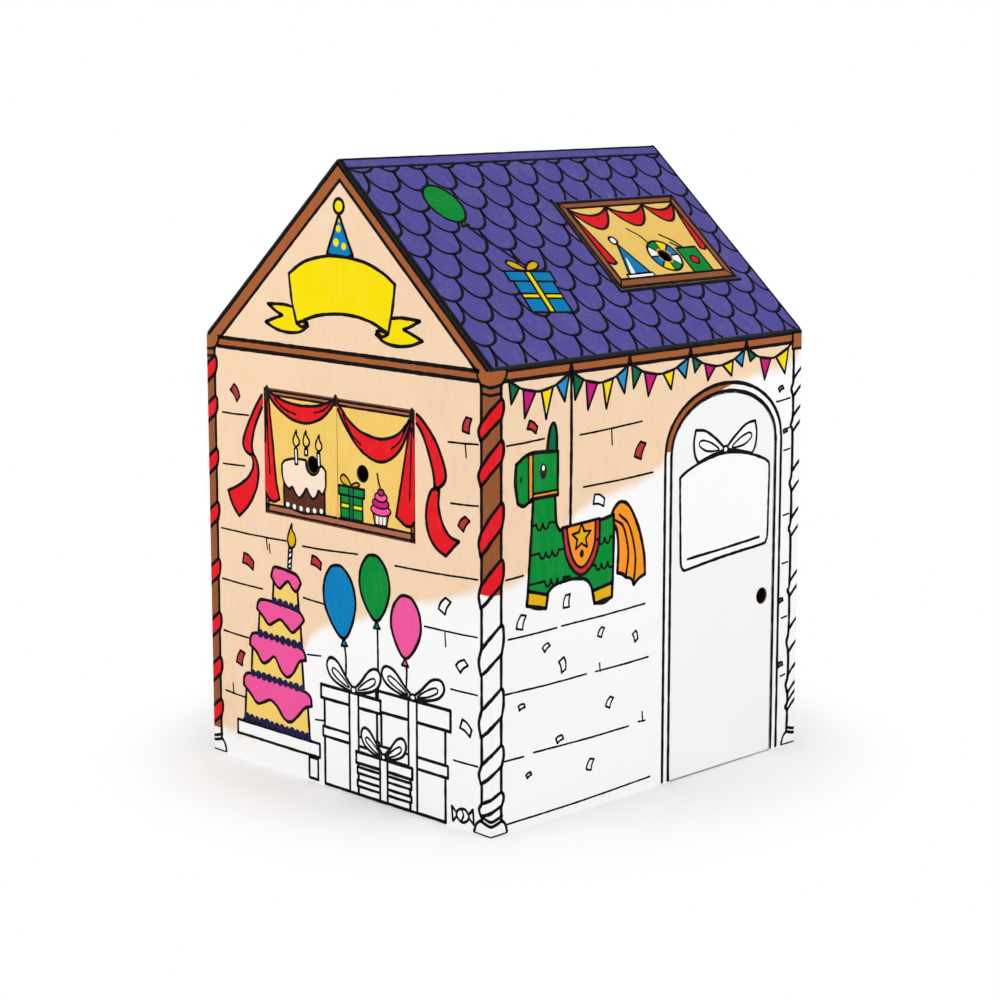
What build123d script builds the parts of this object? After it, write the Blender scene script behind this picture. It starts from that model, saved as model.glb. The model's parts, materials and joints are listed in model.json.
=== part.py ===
from build123d import *
from math import atan2, cos, hypot, sin, tan
import os

os.makedirs("parts", exist_ok=True)

# A play house folded from corrugated board, in millimetres.
# The front gable faces -Y, the wall with the door faces +X, and the ridge runs along Y.
# The origin is on the floor, under the middle of the house.

# Board and folds
board = 4.0             # thickness of the corrugated board
fold_radius = 3.0       # outside radius of a creased fold
cut_gap = 1.5           # width of the die-cut line round a flap
crease_gap = 0.3        # slack at the crease that a flap turns on
cut_overrun = 5.0       # how far a cutting shape reaches past the board

# House
house_width = 810.0     # across the gable, over the outside faces
house_depth = 885.0     # along the ridge, over the outside faces
eave_height = 860.0     # where the slope's top face meets the side wall's outer face
ridge_height = 1220.0   # where the two top faces meet, before the fold is rounded

# Flaps that hold the sheets together
rake_flap_depth = 50.0  # folded in from each gable, under the roof
eave_flap_depth = 80.0  # folded down from the roof, inside each side wall
glue_lap_width = 40.0   # where the ends of the wall sheet are glued
flap_taper = 22.0       # how much shorter a flap is along its free edge, at each end
flap_end_gap = 6.0      # room left between a flap's end and its neighbour

# Door, in the wall that faces +X
door_width = 307.0
door_from_back = 85.0       # free edge to the back corner
door_head_drop = 105.0      # eave to the top of the arch
door_arch_rise = 105.0      # straight sides' ends to the top of the arch
door_floor_gap = 3.0
door_hole_inset = 31.0      # free edge to the middle of the finger hole
door_hole_height = 330.0

# Window with two leaves, in the front gable wall
window_width = 434.0
window_height = 247.0
window_head_drop = 92.0     # eave to the top of the window
window_offset = -10.0       # middle of the window from the middle of the wall
leaf_hole_inset = 72.0      # middle seam to the middle of each finger hole
leaf_hole_rise = 112.0      # sill to the middle of each finger hole

# Skylight, in the slope that faces +X
skylight_width = 350.0
skylight_height = 240.0
skylight_rise = 157.0       # up the slope from the eave to its lower edge
skylight_from_back = 66.0   # far edge to the roof's back edge
skylight_hole_rise = 75.0   # lower edge to the middle of the finger hole
skylight_hole_offset = 16.0

finger_hole = 34.0          # diameter

# Worked out from the sizes above
half_width = house_width / 2
half_depth = house_depth / 2
pitch = atan2(ridge_height - eave_height, half_width)
slope_length = hypot(half_width, ridge_height - eave_height)
board_rise = board / cos(pitch)
fold_rise = board * tan(pitch)
side_wall_height = eave_height + fold_rise - board_rise
gable_height = ridge_height - board_rise


def slope_plane(side, depth):
    """Plane on one slope, depth under its top face: x along the ridge, y up the slope."""
    outward = Vector(side * sin(pitch), 0, cos(pitch))
    eave_point = Vector(side * half_width, 0, eave_height)
    return Plane(origin=eave_point - outward * depth, x_dir=(0, side, 0), z_dir=outward)


front_plane = Plane(origin=(0, -half_depth, 0), x_dir=(1, 0, 0), z_dir=(0, -1, 0))
door_plane = Plane(origin=(half_width, 0, 0), x_dir=(0, 1, 0), z_dir=(1, 0, 0))
skylight_plane = slope_plane(1, 0)


def arched_shape(left, right, bottom, springing, rise):
    """Face with straight sides and a half-ellipse over them."""
    middle = (left + right) / 2
    with BuildSketch() as shape:
        with BuildLine():
            Polyline((right, springing), (right, bottom), (left, bottom), (left, springing))
            EllipticalCenterArc((middle, springing), (right - left) / 2, rise, arc_size=180)
        make_face()
    return shape.sketch


def box_shape(left, right, bottom, top):
    """Face with four straight sides."""
    with BuildSketch() as shape:
        with Locations(((left + right) / 2, (bottom + top) / 2)):
            Rectangle(right - left, top - bottom)
    return shape.sketch


def tapered_shape(root_start, root_end, depth, taper):
    """Flap outline: its root lies along x at y = 0, and its free edge is shorter at both ends."""
    with BuildSketch() as shape:
        with BuildLine():
            Polyline(
                (root_start, 0),
                (root_end, 0),
                (root_end - taper, depth),
                (root_start + taper, depth),
                close=True,
            )
        make_face()
    return shape.sketch


# Where the door, the leaves and the skylight lie in their own planes
door_free_edge = half_depth - door_from_back
door_crease = door_free_edge - door_width
door_springing = eave_height - door_head_drop - door_arch_rise
window_left = window_offset - window_width / 2
window_right = window_offset + window_width / 2
window_top = eave_height - window_head_drop
window_sill_height = window_top - window_height
skylight_far = half_depth - skylight_from_back
skylight_near = skylight_far - skylight_width
skylight_top = skylight_rise + skylight_height

# Rake flaps run from just above the eave flap to just below the ridge
rake_flap_start = (2 * board + flap_end_gap) / cos(pitch)
rake_flap_end = slope_length - (2 * board * sin(pitch) + flap_end_gap) / cos(pitch)

with BuildPart() as wall_sheet:
    # Four walls standing round the floor
    with BuildSketch(Plane.XY):
        Rectangle(house_width, house_depth)
        Rectangle(house_width - 2 * board, house_depth - 2 * board, mode=Mode.SUBTRACT)
    extrude(amount=ridge_height)
    # Three corners are folded, and the fourth keeps the sheet's square cut end
    upright_edges = wall_sheet.edges().filter_by(Axis.Z)
    outer_edges = upright_edges.filter_by(lambda edge: abs(edge.center().X) > half_width - board / 2)
    folded_edges = outer_edges.filter_by(lambda edge: edge.center().X > 0 or edge.center().Y < 0)
    fillet(folded_edges, radius=fold_radius)
    # Trimmed to level side walls and two gables
    with BuildSketch(Plane.XZ):
        with BuildLine():
            Polyline(
                (-half_width, 0),
                (half_width, 0),
                (half_width, side_wall_height),
                (half_width - board, side_wall_height),
                (0, gable_height),
                (board - half_width, side_wall_height),
                (-half_width, side_wall_height),
                close=True,
            )
        make_face()
    extrude(amount=half_depth, both=True, mode=Mode.INTERSECT)
    # Flaps folded in along the rakes, flat under the roof
    for side in (-1, 1):
        for gable in (-1, 1):
            rake_plane = slope_plane(side, board)
            rake_root = Plane(
                origin=rake_plane.from_local_coords((gable * half_depth, 0, 0)),
                x_dir=rake_plane.y_dir,
                z_dir=rake_plane.z_dir * gable,
            )
            with BuildSketch(rake_root):
                add(tapered_shape(rake_flap_start, rake_flap_end, rake_flap_depth, flap_taper))
            extrude(amount=-gable * board)
    # Glued lap, folded in from the left wall and flat against the back wall
    lap_root = Plane(
        origin=(board - half_width, half_depth - board, 0), x_dir=(0, 0, 1), z_dir=(0, 1, 0)
    )
    with BuildSketch(lap_root):
        add(tapered_shape(0, side_wall_height - flap_end_gap, glue_lap_width, flap_taper))
    extrude(amount=-board)
    # Doorway
    with BuildSketch(door_plane):
        add(
            arched_shape(
                door_crease - crease_gap,
                door_free_edge + cut_gap,
                -cut_overrun,
                door_springing,
                door_arch_rise + cut_gap,
            )
        )
    extrude(amount=board + cut_overrun, both=True, mode=Mode.SUBTRACT)
    # Window
    with BuildSketch(front_plane):
        add(
            box_shape(
                window_left - crease_gap,
                window_right + crease_gap,
                window_sill_height - cut_gap,
                window_top + cut_gap,
            )
        )
    extrude(amount=board + cut_overrun, both=True, mode=Mode.SUBTRACT)
wall_sheet.part.label = "wall_sheet"

with BuildPart() as roof_sheet:
    # Two slopes folded at the ridge
    with BuildSketch(Plane.XZ):
        with BuildLine():
            Polyline(
                (half_width - board, eave_height + fold_rise),
                (0, ridge_height),
                (board - half_width, eave_height + fold_rise),
                (board - half_width, side_wall_height),
                (0, gable_height),
                (half_width - board, side_wall_height),
                close=True,
            )
        make_face()
    extrude(amount=half_depth, both=True)
    # A flap at each eave, tucked down inside the side wall
    for side in (-1, 1):
        eave_root = Plane(
            origin=(side * (half_width - board), 0, side_wall_height),
            x_dir=(0, -side, 0),
            z_dir=(side, 0, 0),
        )
        eave_flap_end = half_depth - 2 * board - flap_end_gap
        with BuildSketch(eave_root):
            add(tapered_shape(-eave_flap_end, eave_flap_end, eave_flap_depth, flap_taper))
            add(box_shape(-eave_flap_end, eave_flap_end, -board_rise, 0))
        extrude(amount=-board)
    # Rounded folds at the ridge and the eaves
    long_edges = roof_sheet.edges().filter_by(Axis.Y)
    ridge_edge = long_edges.sort_by(Axis.Z)[-1]
    top_edges = long_edges.filter_by(lambda edge: edge.center().Z > eave_height)
    eave_edges = top_edges.filter_by(lambda edge: abs(edge.center().X) > half_width - 1.5 * board)
    fillet([ridge_edge, *eave_edges], radius=fold_radius)
    # Skylight
    with BuildSketch(skylight_plane):
        add(
            box_shape(
                skylight_near - cut_gap,
                skylight_far + cut_gap,
                skylight_rise - cut_gap,
                skylight_top + crease_gap,
            )
        )
    extrude(amount=board + cut_overrun, both=True, mode=Mode.SUBTRACT)
roof_sheet.part.label = "roof_sheet"

with BuildPart() as door_flap:
    with BuildSketch(door_plane):
        add(
            arched_shape(
                door_crease, door_free_edge, door_floor_gap, door_springing, door_arch_rise
            )
        )
        with Locations((door_free_edge - door_hole_inset, door_hole_height)):
            Circle(finger_hole / 2, mode=Mode.SUBTRACT)
    extrude(amount=-board)
door_flap.part.label = "door_flap"

with BuildPart() as left_shutter:
    with BuildSketch(front_plane):
        add(
            box_shape(
                window_left, window_offset - cut_gap / 2, window_sill_height, window_top
            )
        )
        with Locations((window_offset - leaf_hole_inset, window_sill_height + leaf_hole_rise)):
            Circle(finger_hole / 2, mode=Mode.SUBTRACT)
    extrude(amount=-board)
left_shutter.part.label = "left_shutter"

with BuildPart() as right_shutter:
    with BuildSketch(front_plane):
        add(
            box_shape(
                window_offset + cut_gap / 2, window_right, window_sill_height, window_top
            )
        )
        with Locations((window_offset + leaf_hole_inset, window_sill_height + leaf_hole_rise)):
            Circle(finger_hole / 2, mode=Mode.SUBTRACT)
    extrude(amount=-board)
right_shutter.part.label = "right_shutter"

with BuildPart() as skylight_flap:
    with BuildSketch(skylight_plane):
        add(box_shape(skylight_near, skylight_far, skylight_rise, skylight_top))
        skylight_middle = (skylight_near + skylight_far) / 2
        with Locations((skylight_middle + skylight_hole_offset, skylight_rise + skylight_hole_rise)):
            Circle(finger_hole / 2, mode=Mode.SUBTRACT)
    extrude(amount=-board)
skylight_flap.part.label = "skylight_flap"

for sheet in (wall_sheet, roof_sheet, door_flap, left_shutter, right_shutter, skylight_flap):
    export_step(sheet.part, "parts/" + sheet.part.label + ".step")

print("pitch in radians", pitch, "slope", slope_length)
print("side wall", side_wall_height, "gable", gable_height)
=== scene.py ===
# %% [markdown]
# # A cardboard playhouse
# The house is two big sheets of corrugated board, folded, with a door, two window leaves and a
# skylight cut out of them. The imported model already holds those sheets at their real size. This
# lesson gives them board that looks like board, and then prints the picture on them: thin films
# of colour and ink that stand a fraction of a millimetre above the paper.

# %% Load the house
import json
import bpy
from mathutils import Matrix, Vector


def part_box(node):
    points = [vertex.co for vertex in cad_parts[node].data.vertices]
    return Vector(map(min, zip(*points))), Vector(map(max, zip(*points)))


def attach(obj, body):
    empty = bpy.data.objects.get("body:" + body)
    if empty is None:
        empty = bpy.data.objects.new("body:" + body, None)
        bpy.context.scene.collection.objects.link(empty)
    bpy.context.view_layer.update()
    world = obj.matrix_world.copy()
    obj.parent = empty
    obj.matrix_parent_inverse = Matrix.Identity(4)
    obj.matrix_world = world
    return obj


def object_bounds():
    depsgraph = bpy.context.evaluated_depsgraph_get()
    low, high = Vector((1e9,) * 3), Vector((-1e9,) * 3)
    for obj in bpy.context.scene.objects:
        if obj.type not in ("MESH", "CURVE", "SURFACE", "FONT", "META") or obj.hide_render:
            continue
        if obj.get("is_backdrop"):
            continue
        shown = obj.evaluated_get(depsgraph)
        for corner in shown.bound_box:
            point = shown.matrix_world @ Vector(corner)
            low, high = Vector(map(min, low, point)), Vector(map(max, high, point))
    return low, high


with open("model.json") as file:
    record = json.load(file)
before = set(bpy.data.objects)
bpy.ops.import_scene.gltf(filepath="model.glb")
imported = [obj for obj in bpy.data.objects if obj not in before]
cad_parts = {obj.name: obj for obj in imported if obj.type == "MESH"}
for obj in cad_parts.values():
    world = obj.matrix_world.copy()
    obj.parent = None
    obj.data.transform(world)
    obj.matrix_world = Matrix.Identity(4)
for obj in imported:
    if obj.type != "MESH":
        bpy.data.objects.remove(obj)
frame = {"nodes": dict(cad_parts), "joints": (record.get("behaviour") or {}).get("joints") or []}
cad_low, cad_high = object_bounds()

from copy import copy
from math import asin, atan2, ceil, cos, hypot, pi, radians, sin, tan

import bmesh
import bpy
from mathutils import Vector

MM = 0.001
print("nodes", sorted(frame["nodes"]), "from", tuple(cad_low), "to", tuple(cad_high))

# %% [markdown]
# The print is laid out in millimetres on flat pages, one for each face of the house, so the first
# step reads the sizes of the house from the frame. The skylight's crease lies on the top face of
# the slope and the gable's apex lies one board under it. Those two points give the pitch.

# %% Sizes of the house
BOARD = 4 * MM
FOLD_RADIUS = 3 * MM
HALF_WIDTH = cad_high.x
HALF_DEPTH = cad_high.y
WIDTH = 2 * HALF_WIDTH / MM
DEPTH = 2 * HALF_DEPTH / MM

_, wall_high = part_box("wall_sheet")
creases = {joint["name"]: Vector(joint["pos_m"]) for joint in frame["joints"]}
skylight_crease = creases["skylight_crease"]
apex_rise = wall_high.z - skylight_crease.z
PITCH = atan2(apex_rise, skylight_crease.x) + asin(BOARD / hypot(apex_rise, skylight_crease.x))
RIDGE = skylight_crease.z + skylight_crease.x * tan(PITCH)
EAVE = RIDGE - HALF_WIDTH * tan(PITCH)
SLOPE = HALF_WIDTH / cos(PITCH) / MM
APEX = wall_high.z / MM
WALL_TOP = (EAVE + BOARD * tan(PITCH) - BOARD / cos(PITCH)) / MM
print("pitch", round(PITCH / radians(1), 2), "slope", round(SLOPE, 1), "wall top", round(WALL_TOP, 1))

# %% [markdown]
# ## Camera, light and floor
# The photo looks at the near corner from a little above the middle of the roof, with a long lens.
# A small shift keeps the walls upright. The light is a plain soft studio set: one wide lamp for
# each wall and one overhead, so that both walls are lit alike.

# %% Camera
CAMERA_PLACE = (3.4159, -3.4168, 1.4243)
CAMERA_TURN = 45.13
CAMERA_DIP = 9.225
CAMERA_LENS = 87.03
CAMERA_SHIFT = -0.06
SENSOR_WIDTH = 36


def put(name, data):
    """A new object in the scene."""
    made = bpy.data.objects.new(name, data)
    bpy.context.scene.collection.objects.link(made)
    return made


camera_data = bpy.data.cameras.new("camera")
camera_data.lens = CAMERA_LENS
camera_data.sensor_width = SENSOR_WIDTH
camera_data.shift_y = CAMERA_SHIFT
camera = put("camera", camera_data)
camera.location = CAMERA_PLACE
camera.rotation_euler = (radians(90 - CAMERA_DIP), 0, radians(CAMERA_TURN))
bpy.context.scene.camera = camera
bpy.context.scene.view_settings.view_transform = "Standard"
print("camera", CAMERA_PLACE, "lens", CAMERA_LENS)


# %% Lamps
def soft_lamp(name, place, size, power):
    """A square area lamp that points at the middle of the house."""
    data = bpy.data.lights.new(name, "AREA")
    data.shape = "SQUARE"
    data.size = size
    data.energy = power
    lamp = put(name, data)
    lamp.location = place
    towards = Vector((0, 0, EAVE)) - Vector(place)
    lamp.rotation_euler = towards.to_track_quat("-Z", "Y").to_euler()
    print(name, place, power, "W")


soft_lamp("lamp_front", (-1.2, -4.2, 2.0), 3.0, 74)
soft_lamp("lamp_side", (4.4, 0.8, 2.0), 3.0, 72)
soft_lamp("lamp_top", (0.6, -0.6, 4.6), 4.0, 24)

# %% [markdown]
# Shader and geometry trees are long to write node by node. This helper adds a node, sets its
# inputs and returns an output socket, so that a tree reads like arithmetic.


# %% A helper for node trees
class Tree:
    """Adds nodes to a tree and links them. An input is a number, a tuple or another socket."""

    def __init__(self, tree):
        self.tree = tree

    def feed(self, socket, value):
        if isinstance(value, bpy.types.NodeSocket):
            self.tree.links.new(value, socket)
        else:
            socket.default_value = value

    def node(self, kind, inputs=(), **settings):
        made = self.tree.nodes.new(kind)
        for name, value in settings.items():
            setattr(made, name, value)
        for place, value in dict(inputs).items():
            self.feed(made.inputs[place], value)
        return made

    def out(self, kind, inputs=(), **settings):
        """The first output of a new node."""
        return self.node(kind, inputs, **settings).outputs[0]

    def math(self, operation, *numbers):
        return self.out("ShaderNodeMath", enumerate(numbers), operation=operation)

    def add(self, first, second):
        return self.math("ADD", first, second)

    def minus(self, first, second):
        return self.math("SUBTRACT", first, second)

    def times(self, first, second):
        return self.math("MULTIPLY", first, second)

    def over(self, value, limit):
        """One where a value is over a limit, and otherwise zero."""
        return self.math("GREATER_THAN", value, limit)

    def under(self, value, limit):
        return self.math("LESS_THAN", value, limit)

    def most(self, first, *others):
        """The largest of some values."""
        for other in others:
            first = self.math("MAXIMUM", first, other)
        return first

    def mix(self, factor, first, second):
        inputs = {0: factor, 6: first, 7: second}
        return self.node("ShaderNodeMix", inputs, data_type="RGBA").outputs[2]

    def ramp(self, value, low, high):
        """A smooth step from 0 to 1 while value goes from low to high."""
        inputs = enumerate((value, low, high, 0.0, 1.0))
        return self.out("ShaderNodeMapRange", inputs, interpolation_type="SMOOTHSTEP")

    def split(self, vector):
        return self.node("ShaderNodeSeparateXYZ", {0: vector}).outputs

    def vector(self, x, y, z=0.0):
        return self.out("ShaderNodeCombineXYZ", {0: x, 1: y, 2: z})

    def scaled(self, place, sizes):
        return self.out("ShaderNodeVectorMath", {0: place, 1: sizes}, operation="MULTIPLY")

    def noise(self, place, scale, detail=2.0, roughness=0.5):
        inputs = {"Vector": place, "Scale": scale, "Detail": detail, "Roughness": roughness}
        return self.node("ShaderNodeTexNoise", inputs).outputs


print("helper", Tree.__name__)


# %% Empty trees and colours for sockets
def cleared(owner):
    """The empty node tree of a material or a world."""
    owner.use_nodes = True
    owner.node_tree.nodes.clear()
    return Tree(owner.node_tree)


def rgba(colour):
    """A colour written as sRGB numbers from 0 to 255, for a node's socket."""
    shares = [channel / 255 for channel in colour]
    linear = [s / 12.92 if s <= 0.04045 else ((s + 0.055) / 1.055) ** 2.4 for s in shares]
    return (*linear, 1.0)


WHITE = rgba((255, 255, 255))
BLACK = rgba((0, 0, 0))
print("white in a socket", WHITE)

# %% [markdown]
# The floor is pale and plain. It keeps the soft shadow of the house, and away from the house it
# fades into the white background, so that no horizon shows.

# %% Floor
FLOOR_RADIUS = 30.0
FADE_START = 0.40
FADE_END = 0.85
FLOOR_WHITE = (252, 252, 252)
FLOOR_SIDES = 64

floor_mesh = bpy.data.meshes.new("floor")
floor_shape = bmesh.new()
bmesh.ops.create_circle(floor_shape, cap_ends=True, segments=FLOOR_SIDES, radius=FLOOR_RADIUS)
floor_shape.to_mesh(floor_mesh)
floor_shape.free()
floor = put("floor", floor_mesh)
floor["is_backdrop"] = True

floor_material = bpy.data.materials.new("pale_floor")
floor_mesh.materials.append(floor_material)
t = cleared(floor_material)
place = t.node("ShaderNodeTexCoord").outputs["Object"]
distance = t.node("ShaderNodeVectorMath", {0: place}, operation="LENGTH").outputs["Value"]
paint = t.out("ShaderNodeBsdfDiffuse", {"Color": rgba(FLOOR_WHITE)})
glow = t.out("ShaderNodeEmission", {"Color": WHITE, "Strength": 1.0})
seen = t.node("ShaderNodeLightPath").outputs["Is Camera Ray"]
faded = t.times(t.ramp(distance, FADE_START, FADE_END), seen)
surface = t.out("ShaderNodeMixShader", {0: faded, 1: paint, 2: glow})
t.node("ShaderNodeOutputMaterial", {"Surface": surface})
print("floor fades between", FADE_START, "and", FADE_END, "m")

# %% Background
AMBIENT = 0.52

world = bpy.data.worlds.new("studio")
bpy.context.scene.world = world
t = cleared(world)
rays = t.node("ShaderNodeLightPath").outputs
seen = t.most(rays["Is Camera Ray"], rays["Is Glossy Ray"])
strength = t.add(t.times(seen, 1 - AMBIENT), AMBIENT)
sky = t.out("ShaderNodeBackground", {"Color": WHITE, "Strength": strength})
t.node("ShaderNodeOutputWorld", {"Surface": sky})
print("world light", AMBIENT)

# %% [markdown]
# ## Board
# Corrugated board is a wavy paper between two flat liners. The outer liner is white and takes the
# print, the inner one is brown, and a cut edge shows the waves, with painted shadow in the hollows
# between them. All of this depends only on how deep a point lies under the outer face, so one group
# serves every sheet and flap. Two smaller groups, for the paper's fibres and for the uneven way a
# felt marker covers, go into it.


# %% Node groups with named sockets
SOCKETS = {
    "colour": "NodeSocketColor",
    "value": "NodeSocketFloat",
    "vector": "NodeSocketVector",
    "geometry": "NodeSocketGeometry",
    "whole": "NodeSocketInt",
    "material": "NodeSocketMaterial",
}


def node_group(name, inputs, outputs, kind="ShaderNodeTree"):
    """An empty node group with named inputs and outputs, and its two end nodes."""
    group = bpy.data.node_groups.new(name, kind)
    for in_out, sockets in (("INPUT", inputs), ("OUTPUT", outputs)):
        for socket_name, socket in sockets.items():
            group.interface.new_socket(socket_name, in_out=in_out, socket_type=SOCKETS[socket])
    tree = Tree(group)
    return group, tree, tree.node("NodeGroupInput").outputs, tree.node("NodeGroupOutput").inputs


print("kinds of socket", len(SOCKETS))

# %% Paper fibres
CLOUD_SCALE = 14.0
FIBRE_SCALE = 700.0
CLOUD_SHARE = 0.7

paper_fibres, t, given, result = node_group(
    "paper_fibres", {"Place": "vector"}, {"Shade": "value", "Height": "value"}
)
clouds = t.noise(given["Place"], CLOUD_SCALE, 3.0)[0]
fibres = t.noise(t.scaled(given["Place"], (1.0, 1.0, 0.3)), FIBRE_SCALE, 3.0, 0.6)[0]
t.feed(result["Shade"], t.add(t.times(clouds, CLOUD_SHARE), t.times(fibres, 0.3)))
t.feed(result["Height"], fibres)
print("group", paper_fibres.name)

# %% Marker strokes
STROKE_SCALE = (120.0, 120.0, 26.0)
PATCH_SCALE = 17.0

marker_strokes, t, given, result = node_group(
    "marker_strokes",
    {"Colour": "colour", "Place": "vector", "Unevenness": "value"},
    {"Colour": "colour"},
)
strokes = t.noise(t.scaled(given["Place"], STROKE_SCALE), 1.0, 3.0, 0.65)[0]
patches = t.noise(given["Place"], PATCH_SCALE, 2.0)[0]
cover = t.add(t.times(strokes, 0.6), t.times(patches, 0.4))
swing = t.times(t.add(cover, -0.5), given["Unevenness"])
pale = t.mix(t.most(swing, 0.0), given["Colour"], WHITE)
t.feed(result["Colour"], t.mix(t.most(t.times(swing, -0.7), 0.0), pale, BLACK))
print("group", marker_strokes.name)

# %% Liners and waves
LINER = 0.4
WAVE_LENGTH = 7.6
WAVE_HEIGHT = 1.35
MEDIUM = 0.32
LINER_WHITE = (250, 250, 250)
KRAFT = (196, 158, 116)
KRAFT_DARK = (150, 112, 76)
FLUTE_GAP_SHADOW = (96, 68, 44)
LINER_SHADE = (0.6, 0.6, 0.6, 1)

board_layers, t, given, result = node_group(
    "board_layers",
    {"Outside": "colour", "Depth": "value", "Along": "value", "Place": "vector"},
    {"Colour": "colour", "Height": "value"},
)
fibres = t.node("ShaderNodeGroup", {"Place": given["Place"]}, node_tree=paper_fibres).outputs
wave = t.math("SINE", t.times(given["Along"], 2 * pi / WAVE_LENGTH))
thickness = BOARD / MM
wave_centre = t.math("MULTIPLY_ADD", wave, -WAVE_HEIGHT, -thickness / 2)
off_medium = t.math("ABSOLUTE", t.add(given["Depth"], wave_centre))
medium = t.minus(1.0, t.ramp(off_medium, MEDIUM / 2, MEDIUM))
# The hollows between the waves are painted shadow: a dark brown where the cut edge has no paper.
core = t.mix(medium, rgba(FLUTE_GAP_SHADOW), rgba(KRAFT))
under = t.ramp(given["Depth"], LINER * 0.8, LINER)
inner = t.ramp(given["Depth"], thickness - LINER, thickness - LINER * 0.8)
in_core = t.times(under, t.minus(1.0, inner))
white = t.mix(t.times(fibres["Shade"], 0.05), given["Outside"], LINER_SHADE)
brown = t.mix(t.times(fibres["Shade"], 0.5), rgba(KRAFT), rgba(KRAFT_DARK))
t.feed(result["Colour"], t.mix(in_core, t.mix(inner, white, brown), core))
flat = t.add(t.times(fibres["Height"], 0.25), t.times(wave, 0.12))
t.feed(result["Height"], t.add(flat, t.times(t.times(in_core, medium), 3.0)))
print("group", board_layers.name)


# %% [markdown]
# Every board material has the same frame: it finds the depth and the place along the waves, asks
# the group for a colour and a height, and ends in one shader. What differs is the outside colour.


# %% A board material
BOARD_LOOK = {"Roughness": 0.72, "Specular IOR Level": 0.12}


def paper_surface(t, colour, bump, look):
    """Ends a material in one shader. bump and look are the other inputs of its two nodes."""
    normal = t.out("ShaderNodeBump", bump)
    shader = t.out("ShaderNodeBsdfPrincipled", {"Base Color": colour, "Normal": normal, **look})
    t.node("ShaderNodeOutputMaterial", {"Surface": shader})


def board_material(name, measure, outside):
    """measure gives (depth, along) in millimetres and outside gives the outer liner's colour."""
    material = bpy.data.materials.new(name)
    t = cleared(material)
    place = t.node("ShaderNodeTexCoord").outputs["Object"]
    axes = t.split(t.scaled(place, (1 / MM,) * 3))
    depth, along = measure(t, axes)
    inputs = {"Outside": outside(t, axes, place), "Depth": depth, "Along": along, "Place": place}
    board = t.node("ShaderNodeGroup", inputs, node_tree=board_layers).outputs
    bump = {"Height": board["Height"], "Strength": 0.35, "Distance": 0.1 * MM}
    paper_surface(t, board["Colour"], bump, BOARD_LOOK)
    print("material", name)
    return material


def dress(node, material):
    """Gives a CAD node its board material."""
    for material_slot in frame["nodes"][node].material_slots:
        material_slot.material = material


def marked(t, colour, place, unevenness):
    """A colour laid on by a felt marker."""
    inputs = {"Colour": rgba(colour), "Place": place, "Unevenness": unevenness}
    return t.out("ShaderNodeGroup", inputs, node_tree=marker_strokes)


# %% [markdown]
# The walls are half coloured in: tan marker covers the upper part of the front and door walls and
# ends in a soft slanting edge. A float curve holds the height of that edge along each wall. The
# left wall is coloured all over, and the back gable is left white.

# %% Walls
TAN = (244, 211, 176)
TAN_UNEVENNESS = 0.42
EDGE_INK = (14, 11, 16)
TAN_EDGE = 14.0
RAGGED = 20.0
TOUCH = 0.05
FRONT_EDGE = (
    (0, 55), (150, 60), (190, 80), (250, 180), (300, 275), (340, 310), (450, 350), (540, 385),
    (600, 405), (700, 430), (785, 462), (810, 470),
)
DOOR_EDGE = (
    (0, 470), (90, 475), (130, 520), (200, 560), (260, 590), (330, 600), (400, 612), (460, 635),
    (480, 665), (560, 740), (640, 768), (750, 785), (850, 800), (885, 830),
)


def wall_measure(t, axes):
    """Depth under the outer face of a box with rounded corners, and the place along the walls."""
    half = (HALF_WIDTH / MM, HALF_DEPTH / MM)
    radius = FOLD_RADIUS / MM
    past = [t.add(t.math("ABSOLUTE", axes[i]), radius - half[i]) for i in (0, 1)]
    outside = [t.most(one, 0.0) for one in past]
    round_part = t.math("SQRT", t.add(*(t.times(one, one) for one in outside)))
    flat_part = t.math("MINIMUM", t.most(*past), 0.0)
    depth = t.minus(radius, t.add(round_part, flat_part))
    faces_y = t.over(past[1], past[0])
    along = t.add(axes[1], t.times(faces_y, t.minus(axes[0], axes[1])))
    return t.times(depth, t.minus(1.0, on_top_edge(t, axes))), along


def on_top_edge(t, axes):
    """One on the side walls' top edges, which the eave's black line covers."""
    on_side = t.over(t.math("ABSOLUTE", axes[0]), (HALF_WIDTH - BOARD) / MM - TOUCH)
    return t.times(t.over(axes[2], WALL_TOP - TOUCH), on_side)


print("wall faces", round(WIDTH), "and", round(DEPTH), "mm wide")


# %% Colour of the walls
def edge_height(t, distance, width, edge):
    """The height of the coloured part's edge at a distance along a wall."""
    curve = t.node("ShaderNodeFloatCurve", {"Value": t.times(distance, 1 / width)})
    line = curve.mapping.curves[0]
    for _ in edge[2:]:
        line.points.new(0.5, 0.5)
    for point, (along, height) in zip(line.points, edge):
        point.location = (along / width, height / APEX)
    curve.mapping.update()
    return t.times(curve.outputs[0], APEX)


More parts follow.
